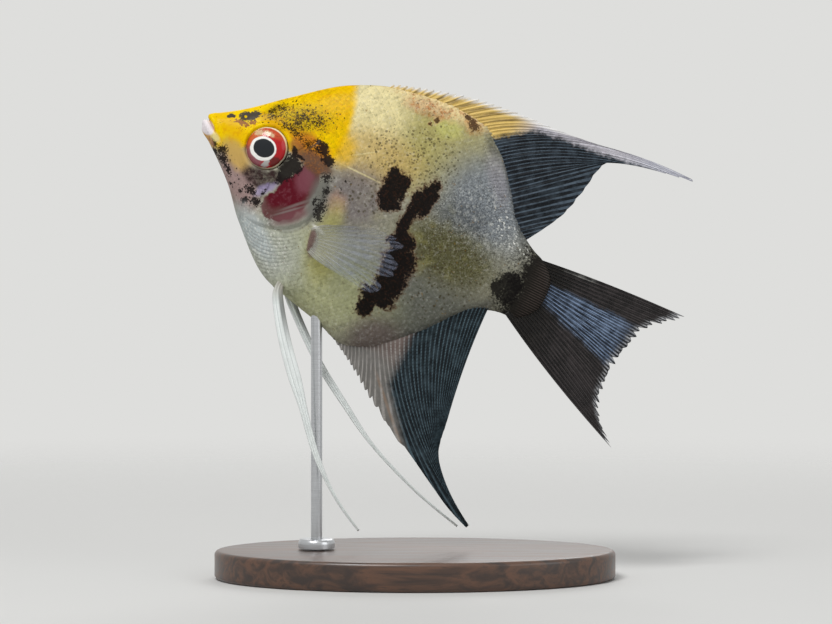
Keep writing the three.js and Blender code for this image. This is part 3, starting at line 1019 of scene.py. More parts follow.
        # Painted shade at the foot of the dorsal fin, and along the roots of the dorsal and anal fins.
        self.patch(Mark(47.6, 19.4, 2.6, 1.1, -42), p.fin_root_shade, 0.5, 1.3)
        dorsal_root_shade = pen.over((49, 19.7), (59, 7.08)).ramp(-1.5, -0.2)
        anal_root_shade = pen.over((50, -16.0), (60, -4.7)).ramp(2.8, 0.3)
        rear = pen.u.ramp(45.5, 49) * pen.u.ramp(61, 58)
        self.lay(dorsal_root_shade.most(anal_root_shade) * rear * 0.62, p.fin_root_shade)
        yellows = pen.away(self.flat, Mark(44, 0, 14, 8)).ramp(1.2, 0.5)
        self.lay(pen.noise(3.4, 3).ramp(0.5, 0.68, 0, 0.3) * yellows * 0.6, p.olive)
        rays = pen.away(self.flat, Mark(28.2, 5.0, 5.2, 0.17), Mark(27.0, 7.9, 3.6, 0.15, 34))
        self.lay(rays.ramp(1.35, 0.4, 0, 0.55), p.cream)

    def _flecks(self) -> None:
        """Fine pepper over the flank, and a grain of lighter and darker cells."""
        p, pen, near = self.palette, self.pen, self.near
        grain = pen.noise(0.55, 2, 0.6)
        # The grain's lighter cells are painted glints of light.
        self.lay(grain.ramp(0.52, 0.74, 0, 0.16), p.glint_white)
        self.lay(grain.ramp(0.46, 0.28, 0, 0.32), p.speck)
        rear = pen.away(self.flat, Mark(50, 4, 10, 11)).ramp(1.2, 0.6)
        fine = pen.noise(0.26, 2, 0.6, 20)
        self.lay(fine.ramp(0.48, 0.38, 0, 0.46) * rear, p.ink)
        # Painted glints of light on the rear flank's scales, fewer low down.
        self.lay(fine.ramp(0.56, 0.68, 0, 0.26) * rear * pen.v.ramp(-1, 4, 0.35, 1), p.glint_white)
        thick = pen.away(near, Mark(33.0, 10.0, 6.2, 6.2), Mark(38.6, 12.2, 6.4, 6.2, -20))
        under = pen.away(near, Mark(31.0, 1.4, 6.0, 3.8), Mark(49, -4, 8, 11))
        share = thick.ramp(1.15, 0.55, 0, 0.92).most(under.ramp(1.1, 0.5, 0, 0.6))
        for spacing, size, part in ((0.82, 0.36, 1.0), (0.60, 0.36, 0.6)):
            dots, own = pen.specks(spacing)
            self.lay(dots.ramp(size, size * 0.6, 0, 0.64) * (share * part - own).ramp(0, 0.1), p.speck)
        spots = self.ragged(self.BACK_SPOTS, 0.35, 3.0, self.loose)
        self.lay(spots.ramp(2.2, 1.0, 0, 0.5), p.rust)
        self.lay(spots.ramp(1.15, 0.85, 0, 0.88), p.umber)

    def _yellow_head(self) -> None:
        """The yellow cap, its orange shade behind the eye and the dark mottling on it."""
        p, pen, near = self.palette, self.pen, self.near
        u, v = near
        hind = (u + v * 0.34).ramp(28.4, 26.5) * u.ramp(24.6, 22.7)
        floor = (v - (u.ramp(4.5, 12, -2.2, 2.6) + u.ramp(12, 24, 0, 2.4))).ramp(-0.6, 0.7)
        cap = hind * floor
        self.lay(cap, p.yellow)
        self.lay(cap * v.ramp(4, 14) * u.ramp(8, 22, 0.1, 0.8), p.deep_yellow)
        for mark, colour, strength, soft in (
            (Mark(24.3, 7.4, 1.9, 2.6, 10), p.deep_yellow, 0.75, 1.2),
            (Mark(6.6, -1.0, 2.4, 1.6, -30), p.snout_tan, 0.7, 1.0),
            (Mark(5.2, 2.2, 3.4, 1.5, -18), p.amber, 0.35, 1.2),
            (Mark(11.8, 6.6, 3.2, 1.1, 4), p.amber, 0.6, 0.9),
            (Mark(18.6, 5.5, 4.2, 1.7, -10), p.orange, 0.92, 0.8),
        ):
            self.patch(mark, colour, strength, soft)
        core = pen.away(near, Mark(15.8, 9.2, 6.4, 3.1, 22), Mark(10.7, 8.2, 3.5, 1.7, 40))
        self.lay(core.ramp(1.15, 0.4, 0, 0.6), p.olive_gold)
        self.lay(cap * pen.noise(0.8, 3, 0.65, 150).ramp(0.50, 0.66, 0, 0.38), p.amber)
        dense = core.ramp(1.20, 0.30, -0.12, 0.085) + pen.wander(1.3, 0.40, 2, 0.6, 140)
        self.lay((pen.noise(0.55, 3, 0.7, 160) + dense).ramp(0.54, 0.62, 0, 0.6), p.bronze)
        fine = pen.noise(0.34, 3, 0.75)
        self.lay((fine + dense).ramp(0.565, 0.615, 0, 0.92), p.mottle)
        brow = pen.away(near, Mark(14.8, 6.5, 4.4, 1.0, -14), Mark(18.9, 5.3, 3.0, 1.6, -8))
        self.lay((fine + brow.ramp(1.3, 0.3, -0.2, 0.09)).ramp(0.53, 0.58, 0, 0.92), p.mottle)
        dots, own = pen.specks(0.5)
        share = core.ramp(1.40, 0.80, 0, 0.6)
        self.lay(dots.ramp(0.36, 0.26) * (share - own).ramp(0.0, 0.1) * 0.9, p.mottle)

    def _gill(self) -> None:
        """The thin gill cover, through which the red gills show."""
        p, pen, near, flat = self.palette, self.pen, self.near, self.flat
        skirt = pen.away(flat, Mark(19.6, -3.4, 5.0, 6.7, 10), Mark(16.6, -8.0, 3.2, 2.7))
        hind = ((pen.u - 18.6) * 0.8 - (pen.v + 6.0) * 0.5).ramp(-1.0, 2.0)
        self.lay(skirt.ramp(1.08, 0.90, 0, 0.55) * pen.v.ramp(-1.0, -5.0) * hind, p.gill_rim)
        red = (pen.away(near, *self.GILL_RED) + pen.wander(1.4, 0.35, 3)).ramp(1.12, 0.92)
        self.lay(red, p.gill_low)
        core = pen.away(near, Mark(19.0, -2.8, 3.1, 4.0, 14), Mark(17.2, -4.9, 1.9, 2.3))
        self.lay(red * core.ramp(1.25, 0.6), p.maroon)
        self.lay(red * pen.noise(0.8, 3, 0.65).ramp(0.50, 0.70, 0, 0.35), p.gill_pink)
        self.lay(pen.away(near, Mark(20.3, -0.2, 1.9, 2.7, 8)).ramp(1.25, 0.5, 0, 0.75), p.gill_pink)
        self.patch(Mark(21.1, -7.0, 3.4, 1.1, 47), p.veil, 0.8, 1.1)
        folds = pen.away(flat, Mark(20.8, -5.0, 2.4, 0.24, 45), Mark(20.2, -6.4, 2.6, 0.18, 42))
        self.lay(folds.ramp(1.8, 0.2, 0, 0.38), p.gill_rim)
        # A thin line of painted shade along the hind and lower part of the gill cover's free edge.
        rim = (pen.away(flat, Mark(19.2, -3.2, 5.3, 7.2, 12)) - 1.0).size()
        self.lay(rim.ramp(0.045, 0.012) * hind * pen.v.ramp(1.5, 0.5) * 0.25, p.ink)

    def _face(self) -> None:
        """Lips, jaw, cheek and the dark patches of the face."""
        p, pen, flat = self.palette, self.pen, self.flat
        self.patch(Mark(9.8, -5.4, 5.8, 2.8, -38), p.cheek, 0.92, 0.9)
        self.patch(Mark(8.0, -1.9, 2.9, 1.7, -24), p.cheek_tan, 0.9, 1.0)
        smoke = pen.noise(0.9, 3, 0.75).ramp(0.35, 0.60, 0.7, 1.0)
        away = pen.away(self.near, Mark(12.9, -3.5, 2.8, 1.7, -6), Mark(15.2, -2.3, 1.5, 1.2))
        self.lay(away.ramp(1.35, 0.75, 0, 1.0) * smoke, p.under_eye)
        self.patch(Mark(14.8, -4.9, 2.2, 0.8, 52), p.lilac, 0.75, 0.9)
        self.patch(Mark(16.5, 4.2, 1.3, 1.3, -20), p.fox, 0.8, 0.9)
        self.patch(Mark(20.4, 3.1, 3.6, 1.6, -6), p.temple, 0.95, 0.7)
        grains = pen.away(self.near, Mark(19.8, 3.4, 3.6, 1.8, -6)).ramp(1.2, 0.7)
        self.lay(grains * pen.noise(0.4, 3, 0.7, 170).ramp(0.50, 0.62, 0, 0.6), p.fox)
        # The nostril's dark spot is laid in slate: a dark colour lightened by a painted sheen.
        for marks, tear, colour in ((self.NOSTRIL_RUST, 4.2, p.fox), (self.BEHIND_EYE, 2.0, p.ink),
                                    (self.TEMPLE, 2.6, p.ink), (self.NOSTRIL_DARK, 1.5, p.sheened_snout_dark)):
            self.lay(self.ragged(marks, 0.42, tear).ramp(1.14, 0.84, 0, 0.96), colour)
        for marks in (self.JAW_DARK, self.CHEEK_DOTS):
            self.lay(self.ragged(marks, 0.32, 4.2).ramp(1.10, 0.80, 0, 0.95), p.ink)
        dots, own = pen.specks(0.6)
        chin = pen.away(flat, Mark(9.0, -5.6, 5.6, 2.2, -40)).ramp(1.2, 0.5)
        behind = pen.away(flat, Mark(12.6, -7.2, 3.0, 1.8, -10)).ramp(1.2, 0.4)
        self.lay(dots.ramp(0.38, 0.20) * chin.most(behind) * own.ramp(0.62, 0.35, 0, 0.88), p.ink)
        self.patch(Mark(6.2, 5.1, 0.24, 0.22), p.yellow, 1.0, 0.8, flat)
        self.patch(Mark(2.7, -0.35, 1.3, 0.6, -24), p.cream, 0.75, 0.8, flat)
        self.patch(Mark(2.0, -1.15, 1.7, 0.45, -34), p.peach, 0.75, 0.8, flat)
        self.patch(Mark(0.9, 0.5, 1.5, 1.1, -32), p.lip, 1.0, 0.3, flat)
        self.lay(pen.away(flat, Mark(1.7, 1.05, 1.6, 0.13, -38)).ramp(1.3, 0.6, 0, 0.5), p.orange)

    def _shoulder(self) -> None:
        """Throat, the dark flecks behind the gill cover and the pectoral fin's root."""
        p, pen, flat = self.palette, self.pen, self.flat
        self.patch(Mark(16.5, -12.6, 5.5, 1.9, -32), p.throat, 0.8, 1.0)
        # Painted glints of light on the throat.
        throat_glints = pen.away(self.near, Mark(19.0, -13.2, 7.5, 3.2, -34)).ramp(1.2, 0.7)
        self.lay(throat_glints * pen.noise(0.45, 2, 0.6).ramp(0.52, 0.66, 0, 0.45), p.glint_white)
        self.patch(Mark(27.8, -4.8, 1.8, 3.0, 6), p.olive, 0.6, 1.6)
        self.patch(Mark(28.9, -10.6, 2.6, 4.4, 10), p.olive, 0.75, 1.5)
        self.patch(Mark(24.0, -2.2, 1.7, 4.0, 8), p.shoulder_grey, 0.85, 0.9)
        self.lay(self.ragged(self.SHOULDER_DARK, 0.38, 4.8).ramp(1.0, 0.65, 0, 0.9), p.ink)
        self.patch(Mark(26.4, -9.6, 0.85, 2.5, 16), p.pectoral_root, 0.9, 0.6, flat)
        # A painted highlight along the top of the pectoral fin's root.
        self.patch(Mark(26.4, -7.1, 1.3, 0.32, -14), p.glint_white, 0.75, 0.9, flat)

    def _blotches(self) -> None:
        """The black patches of the flank and the dark root of the tail."""
        p, pen = self.palette, self.pen
        for marks in (self.SPOTTED, self.BANDED):
            away = self.ragged(marks, 0.5, 1.3, self.loose)
            self.lay(away.ramp(1.34, 1.04, 0, 0.7), p.fringe)
            inside = away.ramp(1.14, 0.94, 0, 0.98)
            self.lay(inside, p.blotch)
            self.lay(inside * pen.noise(0.40, 2, 0.7, 70).ramp(0.52, 0.66, 0, 0.5), p.umber)
        torn = pen.wander(0.4, 11.0, 3, 0.75, 90) + pen.wander(2.2, 5.0, 2, 0.6, 90)
        stalk = (pen.u - (pen.v + 1.0).size() * 0.15 + torn).ramp(57.4, 61.8)
        self.lay(stalk.most((pen.u + torn * 0.4).ramp(60.6, 64.6)) * 0.97, p.stalk)
        rays = (pen.v * self.STALK_RAYS).beat().ramp(0.24, 0.46) * pen.u.ramp(62.4, 65.4)
        self.lay(rays * 0.8, p.stalk_ray)
        dark = self.ragged(self.STALK_DARK, 0.5, 2.4, self.flat)
        self.lay(dark.ramp(1.35, 0.85, 0, 0.93), p.blotch)


@dataclass(frozen=True)
class Finish:
    """What some of the pieces are made of. Each kind draws itself in its own way."""

    name: str

    def draw(self, pen: Pen) -> Material:
        """Draws the finish with a pen and gives its material."""
        raise NotImplementedError

    def make(self, where: Optional[FishFrame] = None) -> Material:
        """Builds the material, in the fish frame if it is given."""
        return self.draw(Pen(self.name, where))


@dataclass(frozen=True)
class SkinFinish(Finish):
    """The moist skin, and with a tone for each the scales over it."""

    palette: Palette = Palette()
    roughness: float = 0.50
    bright: Colour = (1.12, 1.12, 1.11, 1)
    dull: Colour = (0.78, 0.78, 0.77, 1)
    scaly: bool = False

    def draw(self, pen: Pen) -> Material:
        """Lays the markings, and on scales their own tones.

        Args:
            pen: The material's pen.

        Returns:
            The material.
        """
        colour = BodyPaint(pen, self.palette).colour
        sockets = {
            "Base Color": self._scaled(pen, colour) if self.scaly else colour,
            "Roughness": pen.noise(1.2, 2).ramp(0.3, 0.7, self.roughness - 0.06, self.roughness + 0.08),
            "Specular IOR Level": 0.02,
            "Coat Weight": 0.05,
            "Coat Roughness": 0.18,
        }
        return pen.finish(sockets, pen.noise(0.32, 3, 0.6) + pen.noise(1.3, 2) * 0.8, 0.05, 0.5)

    def _scaled(self, pen: Pen, colour: Input) -> Input:
        """Gives each scale its own tone, a darker free edge and, near the tail, a spark.

        Args:
            pen: The material's pen.
            colour: The markings.

        Returns:
            The markings in the scales' tones.
        """
        tone, edge = (Field(pen, pen.node("ShaderNodeAttribute", {"attribute_name": name}, {}, "Fac"))
                      for name in ("tone", "edge"))
        # Painted glints of light on the scales of the rear flank.
        spark = pen.away(pen.flat, Mark(55.5, 7.4, 5.6, 2.2, -35), Mark(60.4, 5.2, 2.0, 0.8, -20))
        spark = spark.ramp(1.1, 0.5, 0, 0.85) * pen.noise(0.28, 1, 0.5, 30).ramp(0.50, 0.62)
        glint = pen.away(pen.flat, Mark(52, 7, 7, 5, -30)).ramp(1.2, 0.6, 0, 0.14)
        for share, shade, way in (
            (tone.ramp(0.5, 1.0, 0, 0.8), self.bright, "MULTIPLY"),
            (tone.ramp(0.5, 0.0, 0, 0.6), self.dull, "MULTIPLY"),
            (edge.ramp(0.5, 1.0, 0, 0.45), self.dull, "MULTIPLY"),
            (tone.ramp(0.70, 0.80) * spark, self.palette.glint_white, "MIX"),
            (tone.ramp(0.80, 0.90) * glint, self.palette.glint_white, "MIX"),
        ):
            colour = pen.mix(share, colour, shade, way)
        return colour


# ---- skin and scales


@dataclass(frozen=True)
class Skin:
    """One unbroken skin over head and body, with the head's folds in it."""

    form: BodyForm = BodyForm()
    relief: Relief = Relief()
    around: int = 300
    stations: int = 236
    coat_depth: float = 0.10
    nodes: tuple[str, ...] = ("head", "upper_lip", "lower_jaw", "trunk", "tail_stalk",
                              "gill_cover_left", "gill_cover_right")
    spacing: Curve = Curve(((0, 0), (0.04, 0.4), (0.10, 1.8), (0.56, 26.5), (0.97, 65.4), (1, SKIN_END)))
    crowding: float = 0.42
    reading_steps: int = 801
    feel: float = 0.12

    def angle(self, share: Array) -> Array:
        """The turn round the body at a share of its girth, closest set on the flanks.

        Args:
            share: The share of the girth.

        Returns:
            The angle that the body's ring takes.
        """
        quarter = share * 4
        part = quarter - np.floor(quarter)
        rising = np.floor(quarter) % 2 == 0
        part = np.where(rising, part, 1 - part)
        eased = part - self.crowding * np.sin(math.pi * part) / math.pi
        eased = np.where(rising, eased, 1 - eased)
        return (np.floor(quarter) + eased) * math.pi / 2

    def share_of_girth(self, angle: Array) -> Array:
        """The share of the girth at which a turn round the body lies."""
        shares = np.linspace(0, 1, self.reading_steps)
        return np.interp(np.mod(angle, 2 * math.pi), self.angle(shares), shares)

    def share_of_length(self, u: Array) -> Array:
        """The share of the stations that lie ahead of a place."""
        shares = np.linspace(0, 1, self.reading_steps)
        return np.interp(u, self.spacing(shares), shares)

    def place(self, across: Array, along: Array, _: Array) -> Array:
        """The plain body, closed at both ends, for the grid.

        Args:
            across: The share of the girth.
            along: The share of the stations.
            _: The grid's face, the only one.

        Returns:
            Rows of (u, y, v).
        """
        spots = self.form.ring(self.spacing(along), self.angle(across))
        for end in (0, 1):
            u = self.spacing(end)
            tip = np.array([float(u), 0, float(self.form.widest(u))])
            spots[np.isclose(along, end)] = tip
        return spots

    def scaled_depth(self, u: Array, v: Array) -> Array:
        """How far the skin lies below the coat's outside: only where there are scales.

        Args:
            u: Places behind the snout.
            v: Their levels.

        Returns:
            The depth, in millimetres.
        """
        past_gill, _ = self.relief.gill_edge.near(u, v)
        by_gill = np.where(u > 26, 1, smooth(past_gill, -0.5, 0.8) * 0.7 + 0.3)
        return self.coat_depth * smooth(u, 9, 22) * by_gill

    def make(self, shop: Workshop, material: Material) -> Piece:
        """Builds the skin.

        Args:
            shop: The workshop.
            material: Its finish.

        Returns:
            The piece.
        """
        mesh = shop.grid("skin", self.around, self.stations, self.place, uv=lambda a, t: (a, t))
        spots, normals = shop.read(mesh), shop.read(mesh, "normal")
        u, v = spots[:, 0], spots[:, 2]
        out = self.relief.height(u, v) - self.scaled_depth(u, v)
        facing = smooth(np.abs(normals[:, 1]), 0.0, 0.25) + smooth(u, 4, 1)
        shop.write(mesh, spots + normals * (out * np.minimum(facing, 1))[:, None])
        return shop.finish(mesh, material, "skin", self.nodes)

    def surface(self, u: Array, v: Array, side: Side) -> tuple[Array, Array]:
        """Where the finished skin lies on a flank.

        Args:
            u: Places along the body.
            v: Their levels.
            side: Which flank.

        Returns:
            The places, as (u, y, v) rows, and the outward normals there.
        """
        step = self.feel

        def plain(du: float, dv: float) -> Array:
            """The plain surface a little way off."""
            return self.form.ring(u + du, self.form.angle_at(u + du, v + dv, side))

        lengthwise = plain(step, 0) - plain(-step, 0)
        upwards = plain(0, step) - plain(0, -step)
        normal = np.cross(lengthwise, upwards) * -side.value
        normal /= np.linalg.norm(normal, axis=1)[:, None]
        out = self.relief.height(u, v) - self.scaled_depth(u, v)
        return plain(0, 0) + normal * out[:, None], normal


@dataclass(frozen=True)
class ScaleShape:
    """One thin, domed scale, its root ahead and its round free edge behind."""

    corners: int = 10
    dome: float = 0.055
    tilt: float = 0.085
    belly: float = 0.03

    def outline(self) -> Array:
        """The scale's points: the rim, then the middle of its top and of its underside.

        Returns:
            Rows of (x, y, height), for a scale one unit across.
        """
        turn = np.arange(self.corners) / self.corners * 2 * math.pi
        x, y = 0.5 * np.cos(turn), 0.5 * np.sin(turn)
        rim = np.stack([x, y, self.tilt * x * 2], axis=1)
        return np.vstack([rim, [[-0.05, 0, self.dome]], [[0, 0, -self.belly]]])

    def triangles(self) -> Array:
        """The faces, a fan above and a fan below.

        Returns:
            Rows of three point numbers.
        """
        rim = np.arange(self.corners)
        after = (rim + 1) % self.corners
        top = np.stack([rim, after, np.full(self.corners, self.corners)], axis=1)
        under = np.stack([after, rim, np.full(self.corners, self.corners + 1)], axis=1)
        return np.vstack([top, under])

    def edges(self) -> Array:
        """How near the free edge each point lies, from 0 to 1."""
        x = self.outline()[:, 0]
        return np.clip(x * 2, 0, 1)


@dataclass(frozen=True)
class Coat:
    """The scales over one flank: staggered rows that lie back along the body."""

    skin: Skin
    side: Side
    shape: ScaleShape = ScaleShape()
    pitch: float = 0.80
    row_gap: float = 0.40
    full_height: float = 44
    lift: float = 0.035
    patch: float = 0.003
    first: float = 8.0
    last: float = SKIN_END - 0.9
    rows_each_way: int = 110
    hem: float = 0.15
    step: float = 0.2
    sharp: float = math.radians(70)
    seed: int = 11

    def fineness(self, u: Array) -> Array:
        """How large scales are at a place, against those of the deepest part."""
        height = self.skin.form.ridge(u) - self.skin.form.keel(u)
        return np.clip((height / self.full_height) ** 0.5, 0.4, 1) * smooth(u, 4, 27) ** 0.5

    def columns(self) -> Array:
        """Where each column of scales stands along the body.

        Returns:
            Their distances behind the snout.
        """
        places = [self.first]
        while places[-1] < self.last:
            places.append(places[-1] + self.pitch * float(self.fineness(np.array(places[-1]))))
        return np.array(places)

    def bare(self, u: Array, v: Array) -> Array:
        """Whether a place has no scales: the snout, round the eye and the gill cover.

        Args:
            u: Places behind the snout.
            v: Their levels.

        Returns:
            True where none grow.
        """
        head = self.skin.relief
        past_gill, share = head.gill_edge.near(u, v)
        under_cover = (past_gill < 0.15) & (v < 7.4) & (share > 0.02)
        cheek, _ = head.cheek_edge.near(u, v)
        on_cheek = (cheek < -0.5) & (u > 9.5) & (v > -9.0) & (v < -1.5)
        round_eye = np.hypot(u - head.eye_u, v - head.eye_v) < head.eye_radius + 1.0
        snout = np.where(v < -9.0, u < 12.5, u + 0.45 * v < 14.5)
        return round_eye | (under_cover & ~on_cheek) | (snout & ~on_cheek)

    def roots(self, rng: np.random.Generator) -> tuple[Array, Array, Array]:
        """Where the scales stand.

        Args:
            rng: The source of small differences.

        Returns:
            Their places along and up the flank, and their sizes.
        """
        form = self.skin.form
        columns = self.columns()
        rows = np.arange(-self.rows_each_way, self.rows_each_way + 1)
        index, row = np.meshgrid(np.arange(len(columns) - 1), rows)
        stagger = (row % 2) * 0.5
        u = columns[index] + stagger * (columns[index + 1] - columns[index])
        size = self.fineness(u)
        middle = (form.ridge(u) + form.keel(u)) / 2
        v = middle + row * self.row_gap * size
        u = u + rng.normal(0, 0.03, u.shape) * size
        v = v + rng.normal(0, 0.02, u.shape) * size
        scaled = (v < form.ridge(u) - self.hem) & (v > form.keel(u) + self.hem) & ~self.bare(u, v)
        return u[scaled], v[scaled], size[scaled]

    def make(self, shop: Workshop, material: Material) -> Piece:
        """Builds the coat.

        Args:
            shop: The workshop.
            material: Its finish.

        Returns:
            The piece.
        """
        rng = np.random.default_rng(self.seed + self.side.value)
        u, v, size = self.roots(rng)
        spots, normal = self.skin.surface(u, v, self.side)
        ahead, _ = self.skin.surface(u + self.step, v + self._slope(u, v) * self.step, self.side)
        along = ahead - spots
        along -= normal * np.sum(along * normal, axis=1)[:, None]
        along /= np.linalg.norm(along, axis=1)[:, None]
        across = np.cross(normal, along)
        turn = rng.normal(0, 0.07, len(u))[:, None]
        along, across = along + across * turn, across - along * turn
        outline = self.shape.outline()
        length = (size * self.pitch * 1.55)[:, None, None]
        width = (size * self.row_gap * 2 * 1.16)[:, None, None]
        points = (
            spots[:, None, :]
            + normal[:, None, :] * self.lift
            + along[:, None, :] * outline[None, :, 0:1] * length
            + across[:, None, :] * outline[None, :, 1:2] * width
            + normal[:, None, :] * outline[None, :, 2:3] * length
        )
        return self._join(shop, material, points, u, v, rng)

    def _slope(self, u: Array, v: Array) -> Array:
        """How the rows rise or fall: along the nearer of back and belly.

        Args:
            u: Places behind the snout.
            v: Their levels.

        Returns:
            The rise over each millimetre along the body.
        """
        form = self.skin.form
        share = (v - form.keel(u)) / (form.ridge(u) - form.keel(u))
        later = u + self.step
        return np.clip((blend(form.keel(later), form.ridge(later), share) - v) / self.step, -1.2, 1.2)

    def _join(self, shop: Workshop, material: Material, points: Array, u: Array, v: Array,
              rng: np.random.Generator) -> Piece:
        """Joins the scales into one mesh, each with its own tone and its own bake patch.

        Args:
            shop: The workshop.
            material: The scales' finish.
            points: Each scale's points.
            u: Where the scales stand along the body.
            v: Their levels.
            rng: The source of tones.

        Returns:
            The piece.
        """
        count, corners = points.shape[:2]
        joined = (self.shape.triangles()[None] + np.arange(count)[:, None, None] * corners).reshape(-1, 3)
        mesh = bpy.data.meshes.new(f"scales_{self.side.word}")
        mesh.from_pydata(points.reshape(-1, 3), [], joined)
        for name, values in (("tone", np.repeat(rng.random(count), corners)),
                             ("edge", np.tile(self.shape.edges(), count))):
            layer = mesh.attributes.new(name, "FLOAT", "POINT")
            layer.data.foreach_set("value", values.astype(np.float32))
        girth = self.skin.share_of_girth(self.skin.form.angle_at(u, v, self.side))
        root = np.stack([girth, self.skin.share_of_length(u)], axis=1)
        local = self.shape.outline()[:, :2] * self.patch
        places = (root[:, None] + local[None]).reshape(-1, 2)
        layer = mesh.uv_layers.new(name="OFBake")
        layer.data.foreach_set("uv", places[joined.ravel()].astype(np.float32).ravel())
        bm = bmesh.new()
        bm.from_mesh(mesh)
        return shop.finish(close(bm, mesh), material, "skin", sharp=self.sharp)


# ---- eyes


@dataclass(frozen=True)
class EyeFinish(Finish):
    """The wet eye: a black pupil, a white ring, a red iris and a thin pale rim."""

    head: Relief = Relief()
    pupil: Colour = tint(22, 27, 32)
    pupil_edge: Colour = tint(52, 46, 44)
    white: Colour = tint(250, 249, 244)
    red: Colour = tint(182, 14, 24)
    coral: Colour = tint(204, 96, 48)
    dark_red: Colour = tint(92, 22, 18)
    dull: Colour = tint(146, 88, 98)
    cream: Colour = tint(224, 206, 162)
    gap: Colour = tint(186, 196, 192)
    rim: Colour = tint(248, 238, 212)
    socket: Colour = tint(60, 44, 34)

    def draw(self, pen: Pen) -> Material:
        """Lays the rings and stains, whose marks are set out from the eye's middle.

        Args:
            pen: The material's pen.

        Returns:
            The material.
        """
        head = self.head
        plane = moved(pen.flat, pen.wander(1.1, 0.22), pen.wander(1.1, 0.22, offset=30))
        plane = moved(plane, -head.eye_u, -head.eye_v)
        ball = pen.away(plane, Mark(-0.12, -0.02, head.eye_radius, head.eye_radius))
        pupil = pen.away(plane, Mark(-0.34, -0.24, 1.80, 1.50, 4))
        ring = pen.away(plane, Mark(-0.45, -0.34, 2.34, 2.10, 6))
        # The pale marks at the upper left are a painted highlight, laid in cream.
        pale = pen.away(plane, Mark(-2.3, 1.9, 0.9, 0.6, 40), Mark(-0.8, 2.4, 1.2, 0.45, 5))
        stain = pen.away(plane, Mark(2.3, -1.6, 1.3, 1.0, -30)) + pen.wander(0.6, 1.4, 2)
        gap = pen.away(plane, Mark(1.05, -2.5, 0.5, 0.9, -22)) + pen.wander(0.4, 1.6, 2)
        colour = self.red
        for share, shade in (
            (pen.away(plane, Mark(-2.6, -0.6, 2.4, 3.0)).ramp(1.2, 0.6), self.coral),
            (pen.away(plane, Mark(0.2, 2.9, 2.6, 1.0)).ramp(1.2, 0.4, 0, 0.6), self.coral),
            (pen.away(plane, Mark(-1.5, -2.4, 2.5, 1.2, -30)).ramp(1.3, 0.5, 0, 0.95), self.dull),
            # Painted highlight at the upper left.
            ((pale + pen.wander(0.45, 1.4, 2)).ramp(1.25, 0.6, 0, 0.7), self.cream),
            (stain.ramp(1.15, 0.6, 0, 0.85), self.dark_red),
            (pen.noise(0.45, 3, 0.7).ramp(0.56, 0.70, 0, 0.45), self.dark_red),
            (gap.ramp(1.25, 0.7, 0, 0.85), self.gap),
            (ball.ramp(0.89, 0.93, 0, 0.95), self.rim),
            # The ball's outermost edge is painted dark, as painted shade where it sinks into the socket.
            (ball.ramp(0.965, 1.0), self.socket),
            (ring.ramp(1.04, 0.96), self.white),
            (pupil.ramp(1.09, 1.03), self.pupil_edge),
            (pupil.ramp(1.03, 0.97), self.pupil),
        ):
            colour = pen.mix(share, colour, shade)
        sockets = {"Base Color": colour, "Roughness": 0.3, "Specular IOR Level": 0.1, "Coat Weight": 0.5,
                   "Coat Roughness": 0.07}
        return pen.finish(sockets, pen.noise(0.25, 2) * pupil.ramp(1.0, 1.2), 0.03, 0.5)


@dataclass(frozen=True)
class Eye:
    """A flattened eyeball that stands a little out of its socket."""

    head: Relief
    side: Side
    centre_y: float = 2.75
    front: float = 2.06
    back: float = 1.2
    yaw: float = math.radians(11)
    around: int = 96
    rings: int = 48

    def place(self, across: Array, along: Array, _: Array) -> Array:
        """The ball's surface: a flat-fronted dome outside, a plain one inside.

        Args:
            across: The share of a turn round the ball.
            along: The share of the way to its back.
            _: The grid's face, the only one.

        Returns:
            Rows of (u, y, v).
        """
        lean = along * math.pi
        radius = np.sin(lean) * self.head.eye_radius
        rise = np.cos(lean)
        out = np.where(rise > 0, np.abs(rise) ** 0.82 * self.front, rise * self.back)
        turn = across * 2 * math.pi
        local_u, local_v = radius * np.cos(turn), radius * np.sin(turn)
        u = local_u * math.cos(self.yaw) - out * math.sin(self.yaw)
        y = out * math.cos(self.yaw) + local_u * math.sin(self.yaw)
        y = self.side.value * (self.centre_y + y)
        return np.stack([self.head.eye_u + u, y, self.head.eye_v + local_v], axis=1)

    def make(self, shop: Workshop, material: Material) -> Piece:
        """Builds one eye."""
        mesh = shop.grid(f"eyeball_{self.side.word}", self.around, self.rings, self.place)
        return shop.finish(mesh, material, "eye", (f"eye_{self.side.word}",))


# ---- fins


